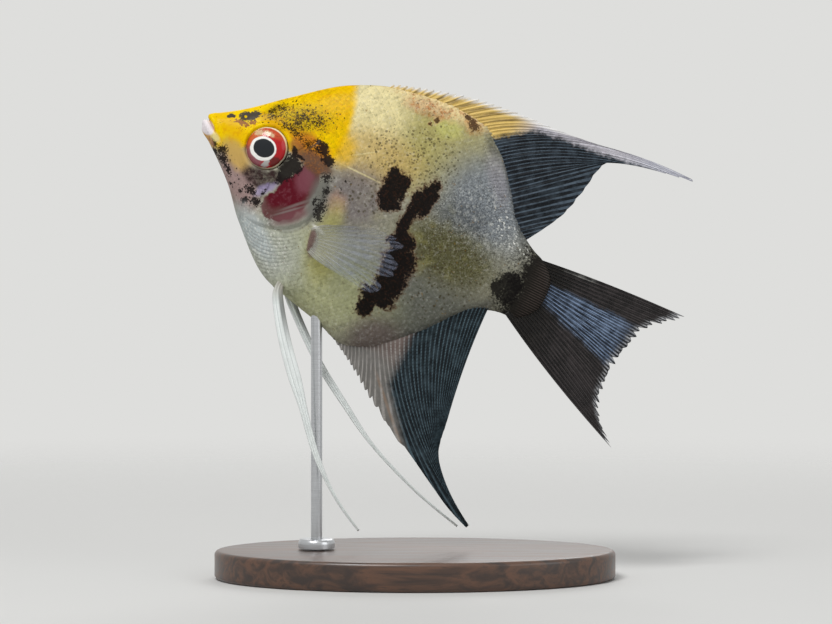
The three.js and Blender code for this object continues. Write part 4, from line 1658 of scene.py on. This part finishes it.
@dataclass(frozen=True)
class FinShape:
    """A thin plate over rays that fan out from a root to a margin."""

    name: str
    rays: int
    root: Bend
    margin: Bend
    rise: tuple[float, float]
    notch: Bend
    sheet: float = 0.10
    ray: float = 0.42
    root_thick: float = 1.3
    columns_per_ray: int = 6
    rows: int = 64
    fray: float = 0.03
    gaps: Bend = np.zeros_like
    sway_from: float = 52
    sway_length: float = 38
    sway: float = 1.8
    droop_from: float = -30
    droop: float = 0.03
    seed: int = 5

    def spot(self, across: Array, reach: Array) -> Array:
        """The (u, v) spot on the middle surface.

        Args:
            across: From 0 at the first ray to 1 at the last.
            reach: From 0 at the root to 1 at the margin.

        Returns:
            An array of (u, v).
        """
        root, tip = self.root(across), self.margin(across)
        rise = np.radians(blend(self.rise[0], self.rise[1], across))
        pull = np.linalg.norm(tip - root, axis=-1) * 0.45
        bend = root + np.stack([np.cos(rise), np.sin(rise)], axis=-1) * pull[..., None]
        t = reach[..., None]
        return (1 - t) ** 2 * root + 2 * t * (1 - t) * bend + t**2 * tip

    def offset(self, spot: Array, across: Array, reach: Array) -> Array:
        """How far the middle surface lies to the fish's right, by its sway.

        Args:
            spot: Rows of (u, v).
            across: The share across the rays.
            reach: The share of the way to the margin.

        Returns:
            Millimetres to the right.
        """
        aft = np.maximum(0, spot[..., 0] - self.sway_from) / self.sway_length
        below = np.maximum(0, self.droop_from - spot[..., 1])
        return self.sway * aft * aft + below * self.droop

    def place(self, across: Array, along: Array, face: Array) -> Array:
        """The plate's surface for the grid.

        Args:
            across: The share across the rays.
            along: The share along them.
            face: 0 or 1, for the plate's two faces.

        Returns:
            Rows of (u, y, v).
        """
        between = np.abs(np.mod(across * self.rays + 0.5, 1) - 0.5) * 2
        worn = np.random.default_rng(self.seed).random(2 * self.rays + 1) * self.fray
        worn = np.interp(across * 2 * self.rays, np.arange(2 * self.rays + 1), worn)
        reach = along * (1 - self.notch(across) * between**1.4 - worn - self.gaps(across))
        spot = self.spot(across, reach)
        ridge = bell(between, 0.36)
        taper = blend(1.0, 0.45, along)
        half = (self.sheet + self.ray * ridge * taper) / 2
        half = blend(self.root_thick / 2, half, smooth(along, 0, 0.12))
        y = self.offset(spot, across, reach) + np.where(face > 0.5, 1, -1) * half
        return np.stack([spot[..., 0], y, spot[..., 1]], axis=-1)

    def make(self, shop: Workshop, material: Material, slot: str = "fin") -> Piece:
        """Builds the fin."""
        mesh = shop.grid(f"{self.name}_web", self.rays * self.columns_per_ray, self.rows, self.place, True)
        return shop.finish(mesh, material, slot, (self.name,))


def along_margin(leading: Line, trailing: Line, filament: float, share: Bend) -> Bend:
    """A margin that runs out to a filament and back down the hind edge.

    Args:
        leading: The edge from the first ray to the filament's tip.
        trailing: The edge from the filament's tip back to the body.
        filament: The share of the rays that lies ahead of the filament.
        share: Takes the share of those rays to the share of the leading edge's length.

    Returns:
        A function from the share of all rays to the margin's (u, v).
    """

    def margin(across: Array) -> Array:
        """The margin's place."""
        ahead = leading.at(share(np.clip(across / filament, 0, 1)))
        astern = trailing.at((across - filament) / (1 - filament))
        return np.where((across <= filament)[..., None], ahead, astern)

    return margin


def along_body(edge: Curve, first: float, last: float, lift: float, bunching: float = 1) -> Bend:
    """A root that follows the back or the belly, just inside the body.

    Args:
        edge: The ridge or the keel.
        first: How far behind the snout the first ray stands.
        last: How far behind it the last one stands.
        lift: How far above the edge the root lies.
        bunching: A power of the rays' share, below 1 to set the last of them closer.

    Returns:
        A function from the share of the rays to the root's (u, v).
    """

    def root(across: Array) -> Array:
        """Where each ray leaves the body."""
        u = blend(first, last, across**bunching)
        return np.stack([u, edge(u) + lift], axis=-1)

    return root


def dorsal_shape(form: BodyForm) -> FinShape:
    """The dorsal fin: short spines in front, a long filament, soft rays behind.

    Args:
        form: The body it grows from.

    Returns:
        The fin's shape.
    """
    leading = Line(((25.9, 21.2), (34.7, 24.1), (41.7, 25.8), (49.1, 26.6), (58.4, 27.1),
                    (70.4, 28.5), (83.2, 29.6)))
    trailing = Line(((83.1, 29.45), (75, 28.1), (68.2, 26.9), (66, 24.2), (65.3, 20.5),
                     (63.6, 13.9), (60, 7.6)))
    share = Curve(((0, 0.02), (0.25, 0.15), (0.5, 0.30), (0.75, 0.47), (0.9, 0.68), (1, 1)))
    return FinShape(
        name="dorsal_fin", rays=40, root=along_body(form.ridge, 25.4, 59.0, -1.4, 0.92), rise=(42, 40),
        margin=along_margin(leading, trailing, 14 / 22, share),
        notch=lambda a: np.where(a < 0.45, 0.17 - 0.14 * a, 0.02), fray=0.02,
    )


def anal_shape(form: BodyForm) -> FinShape:
    """The anal fin: short spines in front, a filament, and a long soft hind part.

    Args:
        form: The body it grows from.

    Returns:
        The fin's shape.
    """
    leading = Line(((36.9, -23.2), (40.7, -25.3), (47.6, -30.1), (53.2, -33.4), (60.7, -37.1),
                    (67.9, -41), (73.5, -43.2)))
    trailing = Line(((73.8, -42.7), (68.6, -39.7), (65, -37.2), (62.4, -33.4), (61.3, -28)))
    share = Curve(((0, 0), (0.667, 0.33), (0.85, 0.6), (1, 1)))
    return FinShape(
        name="anal_fin", rays=36, root=along_body(form.keel, 36.6, 59.0, 1.4), rise=(-46, -90),
        margin=along_margin(leading, trailing, 9 / 20, share),
        notch=lambda a: np.where(a < 0.34, 0.10, 0.015), fray=0.04,
    )


def tail_shape() -> FinShape:
    """The tail fin: a shallow fork between two drawn-out corners.

    Returns:
        The fin's shape.
    """

    def root(across: Array) -> Array:
        """Where each ray leaves the tail stalk."""
        return np.stack([63.6 - 1.6 * (2 * across - 1) ** 2, blend(5.0, -6.0, across)], axis=-1)

    edge = Line(((91.6, 7.4), (88.2, 5), (85.6, 2), (84.2, -2.3), (83.4, -7), (83.7, -12),
                 (85.6, -15.6), (89.6, -19.1)))
    return FinShape(
        name="tail_fin", rays=26, root=root, rise=(8, -30), margin=edge.at,
        notch=lambda a: np.full(np.shape(a), 0.03), fray=0.035,
    )


@dataclass(frozen=True)
class Pectoral(FinShape):
    """A clear, rounded fin that stands out from the flank, ragged at its end."""

    side: Side = Side.LEFT

    def offset(self, spot: Array, across: Array, reach: Array) -> Array:
        """The fin swings out from the flank, with a soft wave across it."""
        wave = 0.22 * np.sin(across * 14) * reach**2
        return self.side.value * (5.2 + 3.2 * np.sin(reach * 1.5) + wave)


def pectoral_shape(side: Side) -> Pectoral:
    """One pectoral fin.

    Args:
        side: The side it grows on.

    Returns:
        The fin's shape.
    """

    def root(across: Array) -> Array:
        """Where each ray leaves the shoulder."""
        return np.stack([blend(25.4, 26.2, across), blend(-7.4, -11.2, across)], axis=-1)

    edge = Line(((31.5, -4.6), (35.2, -2.8), (39, -2.5), (42, -3.3), (42.8, -7), (41.8, -11),
                 (39.8, -13.3), (37.4, -13.1), (32.5, -12.4)))
    return Pectoral(
        name=f"pectoral_fin_{side.word}", side=side, rays=14, root=root, rise=(46, -28), margin=edge.at,
        notch=lambda a: np.full(np.shape(a), 0.03), fray=0.06,
        gaps=lambda a: 0.15 * bell(np.mod(a * 5.2 + 0.3, 1) - 0.5, 0.16) * smooth(a, 0.2, 0.4),
        sheet=0.06, ray=0.10, root_thick=0.7, columns_per_ray=10, rows=48,
    )


@dataclass(frozen=True)
class Ventral:
    """A ventral fin: a few rays, blade-like near the body and a thread at the end."""

    side: Side
    line: Line
    blade: Curve
    rays: int = 3
    columns: int = 24
    rows: int = 150
    sheet: float = 0.42
    ray: float = 0.34

    def place(self, across: Array, along: Array, face: Array) -> Array:
        """The fin's surface for the grid.

        Args:
            across: The share across the rays.
            along: The share along them.
            face: 0 or 1, for the plate's two faces.

        Returns:
            Rows of (u, y, v).
        """
        middle = self.line.at(along)
        way = self.line.at(along + 0.01) - self.line.at(along - 0.01)
        way /= np.linalg.norm(way, axis=1)[:, None]
        width = self.blade(along)
        aside = (across - 0.5) * width
        strands = np.abs(np.mod(across * self.rays, 1) - 0.5) * 2
        thick = self.sheet + self.ray * bell(strands, 0.45)
        thick = thick * blend(1, 0.6, along) * (1 - (np.abs(across - 0.5) * 2) ** 3 * 0.8)
        thick = thick * smooth(along, 1.0, 0.97)
        y = middle[:, 1] + np.where(face > 0.5, 0.5, -0.5) * thick
        return np.stack([middle[:, 0] - way[:, 2] * aside, y, middle[:, 2] + way[:, 0] * aside], axis=1)

    def make(self, shop: Workshop, material: Material) -> Piece:
        """Builds the fin."""
        mesh = shop.grid(f"feeler_{self.side.word}", self.columns, self.rows, self.place, True)
        return shop.finish(mesh, material, "feeler", (f"ventral_fin_{self.side.word}",))


def ventral_shape(side: Side) -> Ventral:
    """The long near feeler of the left side, or the longer far one of the right.

    Args:
        side: The side it grows on.

    Returns:
        The fin's shape.
    """
    if side is Side.LEFT:
        line = Line(((24.6, -1.7, -17.8), (25.2, -2.1, -20.8), (29.8, -2.9, -27.2), (36.6, -3.3, -34.9),
                     (43.3, -3.4, -42.5), (49.5, -3.3, -47.6), (55.6, -3.2, -51.0)))
        blade = Curve(((0, 1.2), (0.07, 1.9), (0.36, 2.2), (0.5, 1.4), (0.68, 1.1), (0.8, 0.62), (1, 0.4)))
        return Ventral(side, line, blade)
    line = Line(((25.6, 1.7, -17.8), (27.6, 2.1, -20.7), (35.8, 2.9, -27.6), (43.6, 3.3, -32.6),
                 (51.5, 3.4, -37.1), (61.5, 3.4, -40.9), (71.0, 3.3, -43.3)))
    blade = Curve(((0, 1.9), (0.1, 1.5), (0.35, 1.3), (0.5, 1.0), (0.64, 0.6), (1, 0.4)))
    return Ventral(side, line, blade)


Colours = tuple[Input, Input]
Paint = Callable[[Pen, Colours, Field, Field], Colours]


@dataclass(frozen=True)
class FinFinish(Finish):
    """A fin's finish: the web between the rays, the rays and their joints."""

    rays: int
    web: Colour
    bone: Colour
    paint: Paint
    web_alpha: float = 0.94
    ray_alpha: float = 0.6
    contrast: float = 0.75
    dots: float = 0.35
    joints: float = 52
    branch_from: float = 0.25
    branch_spread: float = 0.25
    bone_width: float = 0.30
    milk: float = 0.0

    def draw(self, pen: Pen) -> Material:
        """Draws forking, jointed rays on the fin's own grid, over a worn web.

        Args:
            pen: The material's pen.

        Returns:
            The material.
        """
        across, along = pen.grid()
        lane = across * self.rays + 0.5
        fork = along.ramp(self.branch_from, 0.9, 0, self.branch_spread)
        aside = (lane + pen.wander(2.5, 0.16, 2)).beat()
        bone = (aside - fork).size().ramp(self.bone_width / 2, self.bone_width / 6)
        joints = (along * self.joints + lane.whole() * 0.37).beat()
        dotted = joints.ramp(0.30, 0.44, 1.0, 1.0 - self.dots)
        worn = pen.noise(1.6, 3, 0.65).ramp(0.30, 0.62, 0.35, 1.0)
        web, ray = self.paint(pen, (self.web, self.bone), across, along)
        web = pen.mix(pen.noise(2.2, 4, 0.65).ramp(0.42, 0.72, 0, 0.30), web, ray)
        thick = along.ramp(0.85, 0.35, self.web_alpha, self.web_alpha + self.milk)
        sockets = {
            "Base Color": pen.mix(bone * dotted * worn * self.contrast, web, ray),
            "Alpha": (bone * worn).times_plus(self.ray_alpha, thick).least(1.0),
            "Roughness": 0.48,
            "Specular IOR Level": 0.1,
            "Coat Weight": 0.05,
            "Coat Roughness": 0.25,
        }
        return pen.finish(sockets, bone + pen.noise(0.4, 2) * 0.4, 0.04, 0.4)


def both(pen: Pen, share: Input, colours: Colours, web: Input, ray: Input) -> Colours:
    """Tints web and rays by the same share."""
    return pen.mix(share, colours[0], web), pen.mix(share, colours[1], ray)


def paint_dorsal(pen: Pen, colours: Colours, across: Field, along: Field) -> Colours:
    """The dorsal fin's gold spines, the lilac band under its leading edge and the pale filament.

    Args:
        pen: The material's pen.
        colours: The tints of web and rays so far.
        across: The share across the rays.
        along: The share along them.

    Returns:
        The tints with this fin's own.
    """
    torn = pen.wander(0.9, 2.4, 3, 0.7)
    ahead = pen.over((46.5, 20.7), (56.5, 27.7)).most(pen.over((58.4, 25.9), (68.4, 27.07)))
    pale = (ahead + torn).ramp(-0.7, 0.7).most((pen.u + torn).ramp(47.0, 44.6))
    spiny = pen.u.ramp(64, 54)
    gold, spine = both(pen, pen.u.ramp(48, 54), (tint(222, 190, 108), tint(242, 212, 138)),
                       tint(184, 180, 188), tint(230, 230, 236))
    gold = pen.mix(pen.u.ramp(66, 76), gold, tint(166, 168, 182))
    spine = pen.mix(along.ramp(0.82, 0.96) * spiny, spine, tint(246, 247, 250))
    streak = (across * 19 + pen.wander(2.0, 0.3, 2)).beat().ramp(0.22, 0.42)
    brown = streak * along.ramp(0.1, 0.6, 0.2, 0.8) * pen.u.ramp(54, 48) * pen.u.ramp(27, 33)
    gold = pen.mix(brown, gold, tint(112, 90, 54))
    tips = along.ramp(0.70, 0.94) * spiny * pen.u.ramp(27, 35, 0.3, 0.9)
    gold = pen.mix(tips, gold, tint(240, 237, 230))
    spine = pen.mix(brown * 0.7, spine, tint(150, 124, 76))
    return both(pen, pale, colours, gold, spine)


def paint_anal(pen: Pen, colours: Colours, across: Field, along: Field) -> Colours:
    """The anal fin's pinkish grey front and the brown spine behind it.

    Args:
        pen: The material's pen.
        colours: The tints of web and rays so far.
        across: The share across the rays.
        along: The share along them.

    Returns:
        The tints with this fin's own.
    """
    ahead = pen.u - 49.0 - (pen.v * -1.0 - 26).most(0) * 0.85
    front = (ahead + pen.wander(0.9, 2.0, 3, 0.7)).ramp(1.2, -1.2)
    pale = pen.mix(along.ramp(0.3, 0.0), tint(112, 110, 106), tint(120, 104, 98))
    web, ray = both(pen, front, colours, pale, tint(168, 164, 160))
    off_spine = pen.over((47.9, -26.8), (57.9, -36.8)).size()
    spine = off_spine.ramp(0.55, 0.15) * pen.u.ramp(45, 48) * pen.u.ramp(59, 56)
    return pen.mix(spine * 0.6, web, tint(142, 118, 98)), ray


def paint_tail(pen: Pen, colours: Colours, across: Field, along: Field) -> Colours:
    """The tail's black root, its blue-white middle rays and its pale worn tips.

    Args:
        pen: The material's pen.
        colours: The tints of web and rays so far.
        across: The share across the rays.
        along: The share along them.

    Returns:
        The tints with this fin's own.
    """
    web, ray = colours
    torn = pen.wander(1.6, 1.6, 3, 0.7)
    band = (pen.v + torn).ramp(2.7, 1.7) * (pen.over((67, -1.5), (77, -4.6)) + torn).ramp(-0.8, 0.8)
    band = band * pen.u.ramp(65.4, 67.2) * pen.u.ramp(84, 80, 0.3, 1)
    ray = pen.mix(band, ray, tint(146, 168, 200))
    web = pen.mix(band * 0.6, web, tint(32, 42, 57))
    bead = pen.over((66, 5.2), (76, 6.3)).size().ramp(0.5, 0.15) * pen.u.ramp(65, 67) * pen.u.ramp(75, 72)
    ray = pen.mix(bead, ray, tint(206, 206, 200))
    tips = (along + torn * 0.03).ramp(0.93, 0.985)
    ray = pen.mix(tips * 0.8, ray, tint(214, 216, 220))
    dark = (pen.u + torn * 0.8).ramp(73, 66.5) * (1 - band)
    return both(pen, dark, (web, ray), tint(22, 21, 20), tint(50, 46, 42))


def paint_pectoral(pen: Pen, colours: Colours, across: Field, along: Field) -> Colours:
    """The pectoral fin's milky root.

    Args:
        pen: The material's pen.
        colours: The tints of web and rays so far.
        across: The share across the rays.
        along: The share along them.

    Returns:
        The tints with this fin's own.
    """
    for share, web, ray in (
        (along.ramp(0.8, 0.1, 0, 0.8), tint(184, 184, 164), tint(204, 204, 190)),
        (along.ramp(0.10, 0.05) * across.ramp(0.05, 0.2), tint(116, 90, 84), tint(130, 104, 98)),
        (across.ramp(0.10, 0.02, 0, 0.8) * along.ramp(0.7, 0.2), tint(226, 226, 224), tint(236, 236, 234)),
    ):
        colours = both(pen, share, colours, web, ray)
    return colours


@dataclass(frozen=True)
class FeelerFinish(Finish):
    """The white ventral rays, greyer where web lies between them."""

    rays: int
    bone: Colour = tint(238, 243, 241)
    streak: Colour = tint(204, 210, 208)
    web: Colour = tint(112, 114, 112)
    root: Colour = tint(170, 166, 152)
    joints: float = 90

    def draw(self, pen: Pen) -> Material:
        """Draws the strands and their joints on the feeler's own grid.

        Args:
            pen: The material's pen.

        Returns:
            The material.
        """
        across, along = pen.grid()
        strand = ((across * self.rays).beat() * 2).ramp(0.98, 0.72)
        jointed = (along * self.joints).beat().ramp(0.40, 0.48, 1.0, 0.8)
        colour = self.streak
        for share, shade in (
            (strand * jointed, self.bone),
            (pen.noise(1.5, 3).ramp(0.45, 0.7, 0, 0.3), self.streak),
            (across.ramp(0.50, 0.72) * along.ramp(0.30, 0.10) * 0.85, self.web),
            (along.ramp(0.10, 0.0, 0, 0.9), self.root),
        ):
            colour = pen.mix(share, colour, shade)
        sockets = {"Base Color": colour, "Roughness": 0.45, "Specular IOR Level": 0.3}
        return pen.finish(sockets, strand + pen.noise(0.4, 2) * 0.4, 0.05, 0.5)


# ---- stand


@dataclass(frozen=True)
class Stand:
    """A plain oval base with a steel rod let into it through a collar."""

    bevel: float = 0.8 * MM
    around: int = 160
    clearance: float = 0.05 * MM
    merge: float = 1e-7
    sharp: float = math.radians(35)

    def base(self) -> Mesh:
        """The bevelled oval base.

        Returns:
            Its mesh.
        """
        low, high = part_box("stand_base")
        size, middle = high - low, (low + high) / 2
        bm = bmesh.new()
        rim = bmesh.ops.create_circle(bm, cap_ends=True, segments=self.around, radius=0.5)["verts"]
        bmesh.ops.scale(bm, vec=(size.x, size.y, 1), verts=rim)
        bmesh.ops.translate(bm, vec=(middle.x, middle.y, low.z), verts=rim)
        made = bmesh.ops.extrude_face_region(bm, geom=bm.faces[:], use_keep_orig=True)
        top = [item for item in made["geom"] if isinstance(item, bmesh.types.BMVert)]
        bmesh.ops.translate(bm, vec=(0, 0, size.z), verts=top)
        rims = [e for e in bm.edges if abs(e.verts[0].co.z - e.verts[1].co.z) < self.merge]
        bmesh.ops.bevel(bm, geom=rims, offset=self.bevel, segments=5, profile=0.5, affect="EDGES",
                        material=-1)
        return close(bm, bpy.data.meshes.new("base_board"), self.merge)

    def _turned(self, name: str, profile: Sequence[tuple[float, float]], x: float) -> Mesh:
        """Turns a profile of (radius, height) points round the rod's axis.

        Args:
            name: The mesh's name.
            profile: The points, from axis to axis or closed on themselves.
            x: Where the axis stands.

        Returns:
            The mesh.
        """
        bm = bmesh.new()
        spots = [bm.verts.new((radius, 0, height)) for radius, height in profile]
        edges = [bm.edges.new(pair) for pair in zip(spots[:-1], spots[1:])]
        bmesh.ops.spin(bm, geom=spots + edges, axis=(0, 0, 1), cent=(0, 0, 0), dvec=(0, 0, 0),
                       angle=2 * math.pi, steps=64, use_merge=True, use_duplicate=False)
        bmesh.ops.translate(bm, vec=(x, 0, 0), verts=bm.verts[:])
        return close(bm, bpy.data.meshes.new(name), self.merge)

    @staticmethod
    def _round(node: str) -> tuple[float, float, float, float]:
        """A round node's radius, its middle's x, and its bottom and top."""
        low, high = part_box(node)
        return (high.x - low.x) / 2, (low.x + high.x) / 2, low.z, high.z

    def rod(self) -> Mesh:
        """The upright rod."""
        radius, x, bottom, top = self._round("stand_rod")
        return self._turned("rod", [(0, bottom), (radius, bottom), (radius, top), (0, top)], x)

    def collar(self) -> Mesh:
        """The collar where the rod enters the base, with a rounded shoulder.

        Returns:
            Its mesh.
        """
        radius, x, bottom, top = self._round("stand_collar")
        bore = self._round("stand_rod")[0] + self.clearance
        tall = top - bottom
        shoulder = [
            (radius * (0.82 + 0.18 * math.cos(a)), bottom + tall * (0.45 + 0.55 * math.sin(a)))
            for a in (i / 6 * math.pi / 2 for i in range(7))
        ]
        profile = [(bore, bottom), (radius, bottom), *shoulder, (bore, top), (bore, bottom)]
        return self._turned("collar", profile, x)

    def make(self, shop: Workshop, wood: Material, steel: Material) -> None:
        """Builds base, rod and collar.

        Args:
            shop: The workshop.
            wood: The base's finish.
            steel: The finish of rod and collar.
        """
        for mesh, material, slot, node in (
            (self.base(), wood, "base_wood", "stand_base"),
            (self.rod(), steel, "rod_steel", "stand_rod"),
            (self.collar(), steel, "rod_steel", "stand_collar"),
        ):
            shop.finish(mesh, material, slot, (node,), sharp=self.sharp, level=False)


@dataclass(frozen=True)
class WoodFinish(Finish):
    """Dark stained wood under a satin lacquer."""

    dark: Colour = tint(46, 32, 25)
    light: Colour = tint(92, 62, 44)

    def draw(self, pen: Pen) -> Material:
        """Draws grain and pores along the base.

        Args:
            pen: The material's pen.

        Returns:
            The material.
        """
        stretched = pen.node("ShaderNodeMapping", {}, {"Vector": pen.spot, "Scale": (0.06, 1, 0.6)})
        grain = pen.noise(1.6, 4, 0.6, vector=stretched, twist=1.2)
        pores = pen.noise(0.35, 2, 0.6, vector=stretched)
        colour = pen.mix(grain.ramp(0.35, 0.66), self.dark, self.light)
        sockets = {
            "Base Color": pen.mix(pores.ramp(0.58, 0.70, 0, 0.55), colour, self.dark),
            "Roughness": grain.ramp(0.3, 0.7, 0.36, 0.5),
            "Coat Weight": 0.4,
            "Coat Roughness": 0.22,
        }
        return pen.finish(sockets, pores * -1.0, 0.04, 0.4)


@dataclass(frozen=True)
class SteelFinish(Finish):
    """Brushed steel, its fine marks running round the rod."""

    dark: Colour = tint(182, 184, 187)
    light: Colour = tint(196, 198, 201)

    def draw(self, pen: Pen) -> Material:
        """Draws the brush's marks.

        Args:
            pen: The material's pen.

        Returns:
            The material.
        """
        rings = pen.node("ShaderNodeMapping", {}, {"Vector": pen.spot, "Scale": (0.3, 0.3, 16)})
        marks = pen.noise(1.0, 3, 0.6, vector=rings)
        return pen.finish({
            "Base Color": pen.mix(marks.ramp(0.35, 0.65), self.dark, self.light),
            "Metallic": 1.0,
            "Roughness": marks.ramp(0.3, 0.7, 0.28, 0.32),
        })


# ---- the studio


@dataclass(frozen=True)
class Studio:
    """The pale floor, the soft lamps and the camera."""

    floor_shade: Colour = tint(214, 214, 212)
    backdrop: Colour = tint(222, 222, 220)
    fill: float = 0.30
    camera_range: float = 0.400
    camera_height: float = 0.0465
    frame_width: float = 0.14545
    sensor: float = 36.0
    camera_x: float = 0.000175
    aim: tuple[float, float, float] = (0, 0, 0.05)

    @staticmethod
    def _hang(name: str, data: Any) -> Piece:
        """Puts an object with the given data in the scene.

        Args:
            name: The object's name.
            data: Its mesh, lamp or camera.

        Returns:
            The object.
        """
        placed = bpy.data.objects.new(name, data)
        bpy.context.scene.collection.objects.link(placed)
        return placed

    def floor(self) -> None:
        """Lays the floor, which fades out round its rim."""
        bm = bmesh.new()
        bmesh.ops.create_circle(bm, cap_ends=True, segments=96, radius=0.5)
        mesh = bpy.data.meshes.new("floor")
        bm.to_mesh(mesh)
        bm.free()
        pen = Pen("floor")
        away = (pen.u * pen.u + pen.y * pen.y).root()
        sockets = {"Base Color": self.floor_shade, "Roughness": 0.9, "Alpha": away.ramp(90, 480, 1, 0)}
        mesh.materials.append(pen.finish(sockets))
        self._hang("floor", mesh)

    def world(self) -> None:
        """Sets the soft light from all round, with a pale backdrop for the camera."""
        world = bpy.data.worlds.new("studio")
        bpy.context.scene.world = world
        world.use_nodes = True
        nodes = Nodes(world.node_tree)
        light = world.node_tree.nodes["Background"]
        nodes.feed(light, "Color", (1, 1, 1, 1))
        nodes.feed(light, "Strength", self.fill)
        shown = nodes.node("ShaderNodeBackground", {}, {"Color": self.backdrop})
        path = nodes.node("ShaderNodeLightPath", output=None)
        rays = [Field(nodes, path.outputs[name])
                for name in ("Is Camera Ray", "Is Glossy Ray", "Is Transmission Ray")]
        inputs = {0: reduce(Field.most, rays), 1: light.outputs[0], 2: shown}
        mix = nodes.node("ShaderNodeMixShader", {}, inputs)
        nodes.feed(world.node_tree.nodes["World Output"], "Surface", mix)

    def lamp(self, name: str, place: Vector, size: float, power: float) -> None:
        """Hangs one round lamp.

        Args:
            name: The lamp's name.
            place: Where it hangs.
            size: Its width, in metres.
            power: Its power, in watts.
        """
        data = bpy.data.lights.new(name, "AREA")
        data.shape = "DISK"
        data.size = size
        data.energy = power
        lamp = self._hang(name, data)
        lamp.location = place
        lamp.rotation_euler = (Vector(self.aim) - place).to_track_quat("-Z", "Y").to_euler()

    def camera(self) -> None:
        """Sets the camera level with the fish's middle, straight at its left flank."""
        data = bpy.data.cameras.new("camera")
        data.sensor_width = self.sensor
        data.lens = self.sensor * self.camera_range / self.frame_width
        camera = self._hang("camera", data)
        camera.location = (self.camera_x, -self.camera_range, self.camera_height)
        camera.rotation_euler = (math.pi / 2, 0, 0)
        bpy.context.scene.camera = camera

    def make(self) -> None:
        """Sets up the whole studio."""
        bpy.context.scene.view_settings.view_transform = "Standard"
        self.floor()
        self.world()
        self.camera()
        self.lamp("key", Vector((-0.22, -0.42, 0.66)), 0.30, 3.9)
        self.lamp("fill", Vector((0.62, -0.42, 0.30)), 0.50, 1.0)
        self.lamp("back", Vector((0.10, 0.60, 0.50)), 0.50, 1.6)


# ---- building


def build_body(shop: Workshop) -> None:
    """Builds skin, scales and eyes.

    Args:
        shop: The workshop.
    """
    skin = Skin()
    skin.make(shop, SkinFinish("skin").make(shop.where))
    scale_finish = SkinFinish("scales", roughness=0.44, scaly=True).make(shop.where)
    eye_finish = EyeFinish("eye", skin.relief).make(shop.where)
    for side in Side:
        Coat(skin, side).make(shop, scale_finish)
        Eye(skin.relief, side).make(shop, eye_finish)


def build_fins(shop: Workshop) -> None:
    """Builds the single fins and the paired ones.

    Args:
        shop: The workshop.
    """
    form = BodyForm()
    dorsal, anal, tail = dorsal_shape(form), anal_shape(form), tail_shape()
    dorsal.make(shop, FinFinish(
        "dorsal_web", round(1.6 * dorsal.rays), tint(14, 19, 24), tint(90, 104, 117), paint_dorsal,
        branch_spread=0.10, branch_from=0.55, bone_width=0.40, contrast=0.9,
    ).make(shop.where))
    anal.make(shop, FinFinish(
        "anal_web", anal.rays, tint(14, 23, 28), tint(84, 103, 112), paint_anal,
        dots=0.8, branch_spread=0.0, contrast=0.95, bone_width=0.5,
    ).make(shop.where))
    tail.make(shop, FinFinish(
        "tail_web", tail.rays, tint(29, 28, 28), tint(76, 70, 70), paint_tail, branch_from=0.12,
    ).make(shop.where))
    pectorals, ventrals = ([shape(side) for side in Side] for shape in (pectoral_shape, ventral_shape))
    clear = FinFinish(
        "pectoral_web", pectorals[0].rays, tint(124, 132, 150), tint(160, 170, 196), paint_pectoral,
        web_alpha=0.04, contrast=0.6, ray_alpha=0.13, branch_from=0.4, dots=0.2, bone_width=0.45, milk=0.32,
    ).make(shop.where)
    feeler = FeelerFinish("feeler", ventrals[0].rays).make(shop.where)
    for pectoral, ventral in zip(pectorals, ventrals):
        pectoral.make(shop, clear)
        ventral.make(shop, feeler)


def main() -> None:
    """Builds the model and its studio."""
    logging.basicConfig(level=logging.INFO, format="%(message)s")
    head = Relief()
    shop = Workshop(FishFrame.from_eyes(head.eye_u, head.eye_v))
    build_body(shop)
    build_fins(shop)
    Stand().make(shop, WoodFinish("dark_wood").make(), SteelFinish("brushed_steel").make())
    Studio().make()


if __name__ == "__main__":
    main()
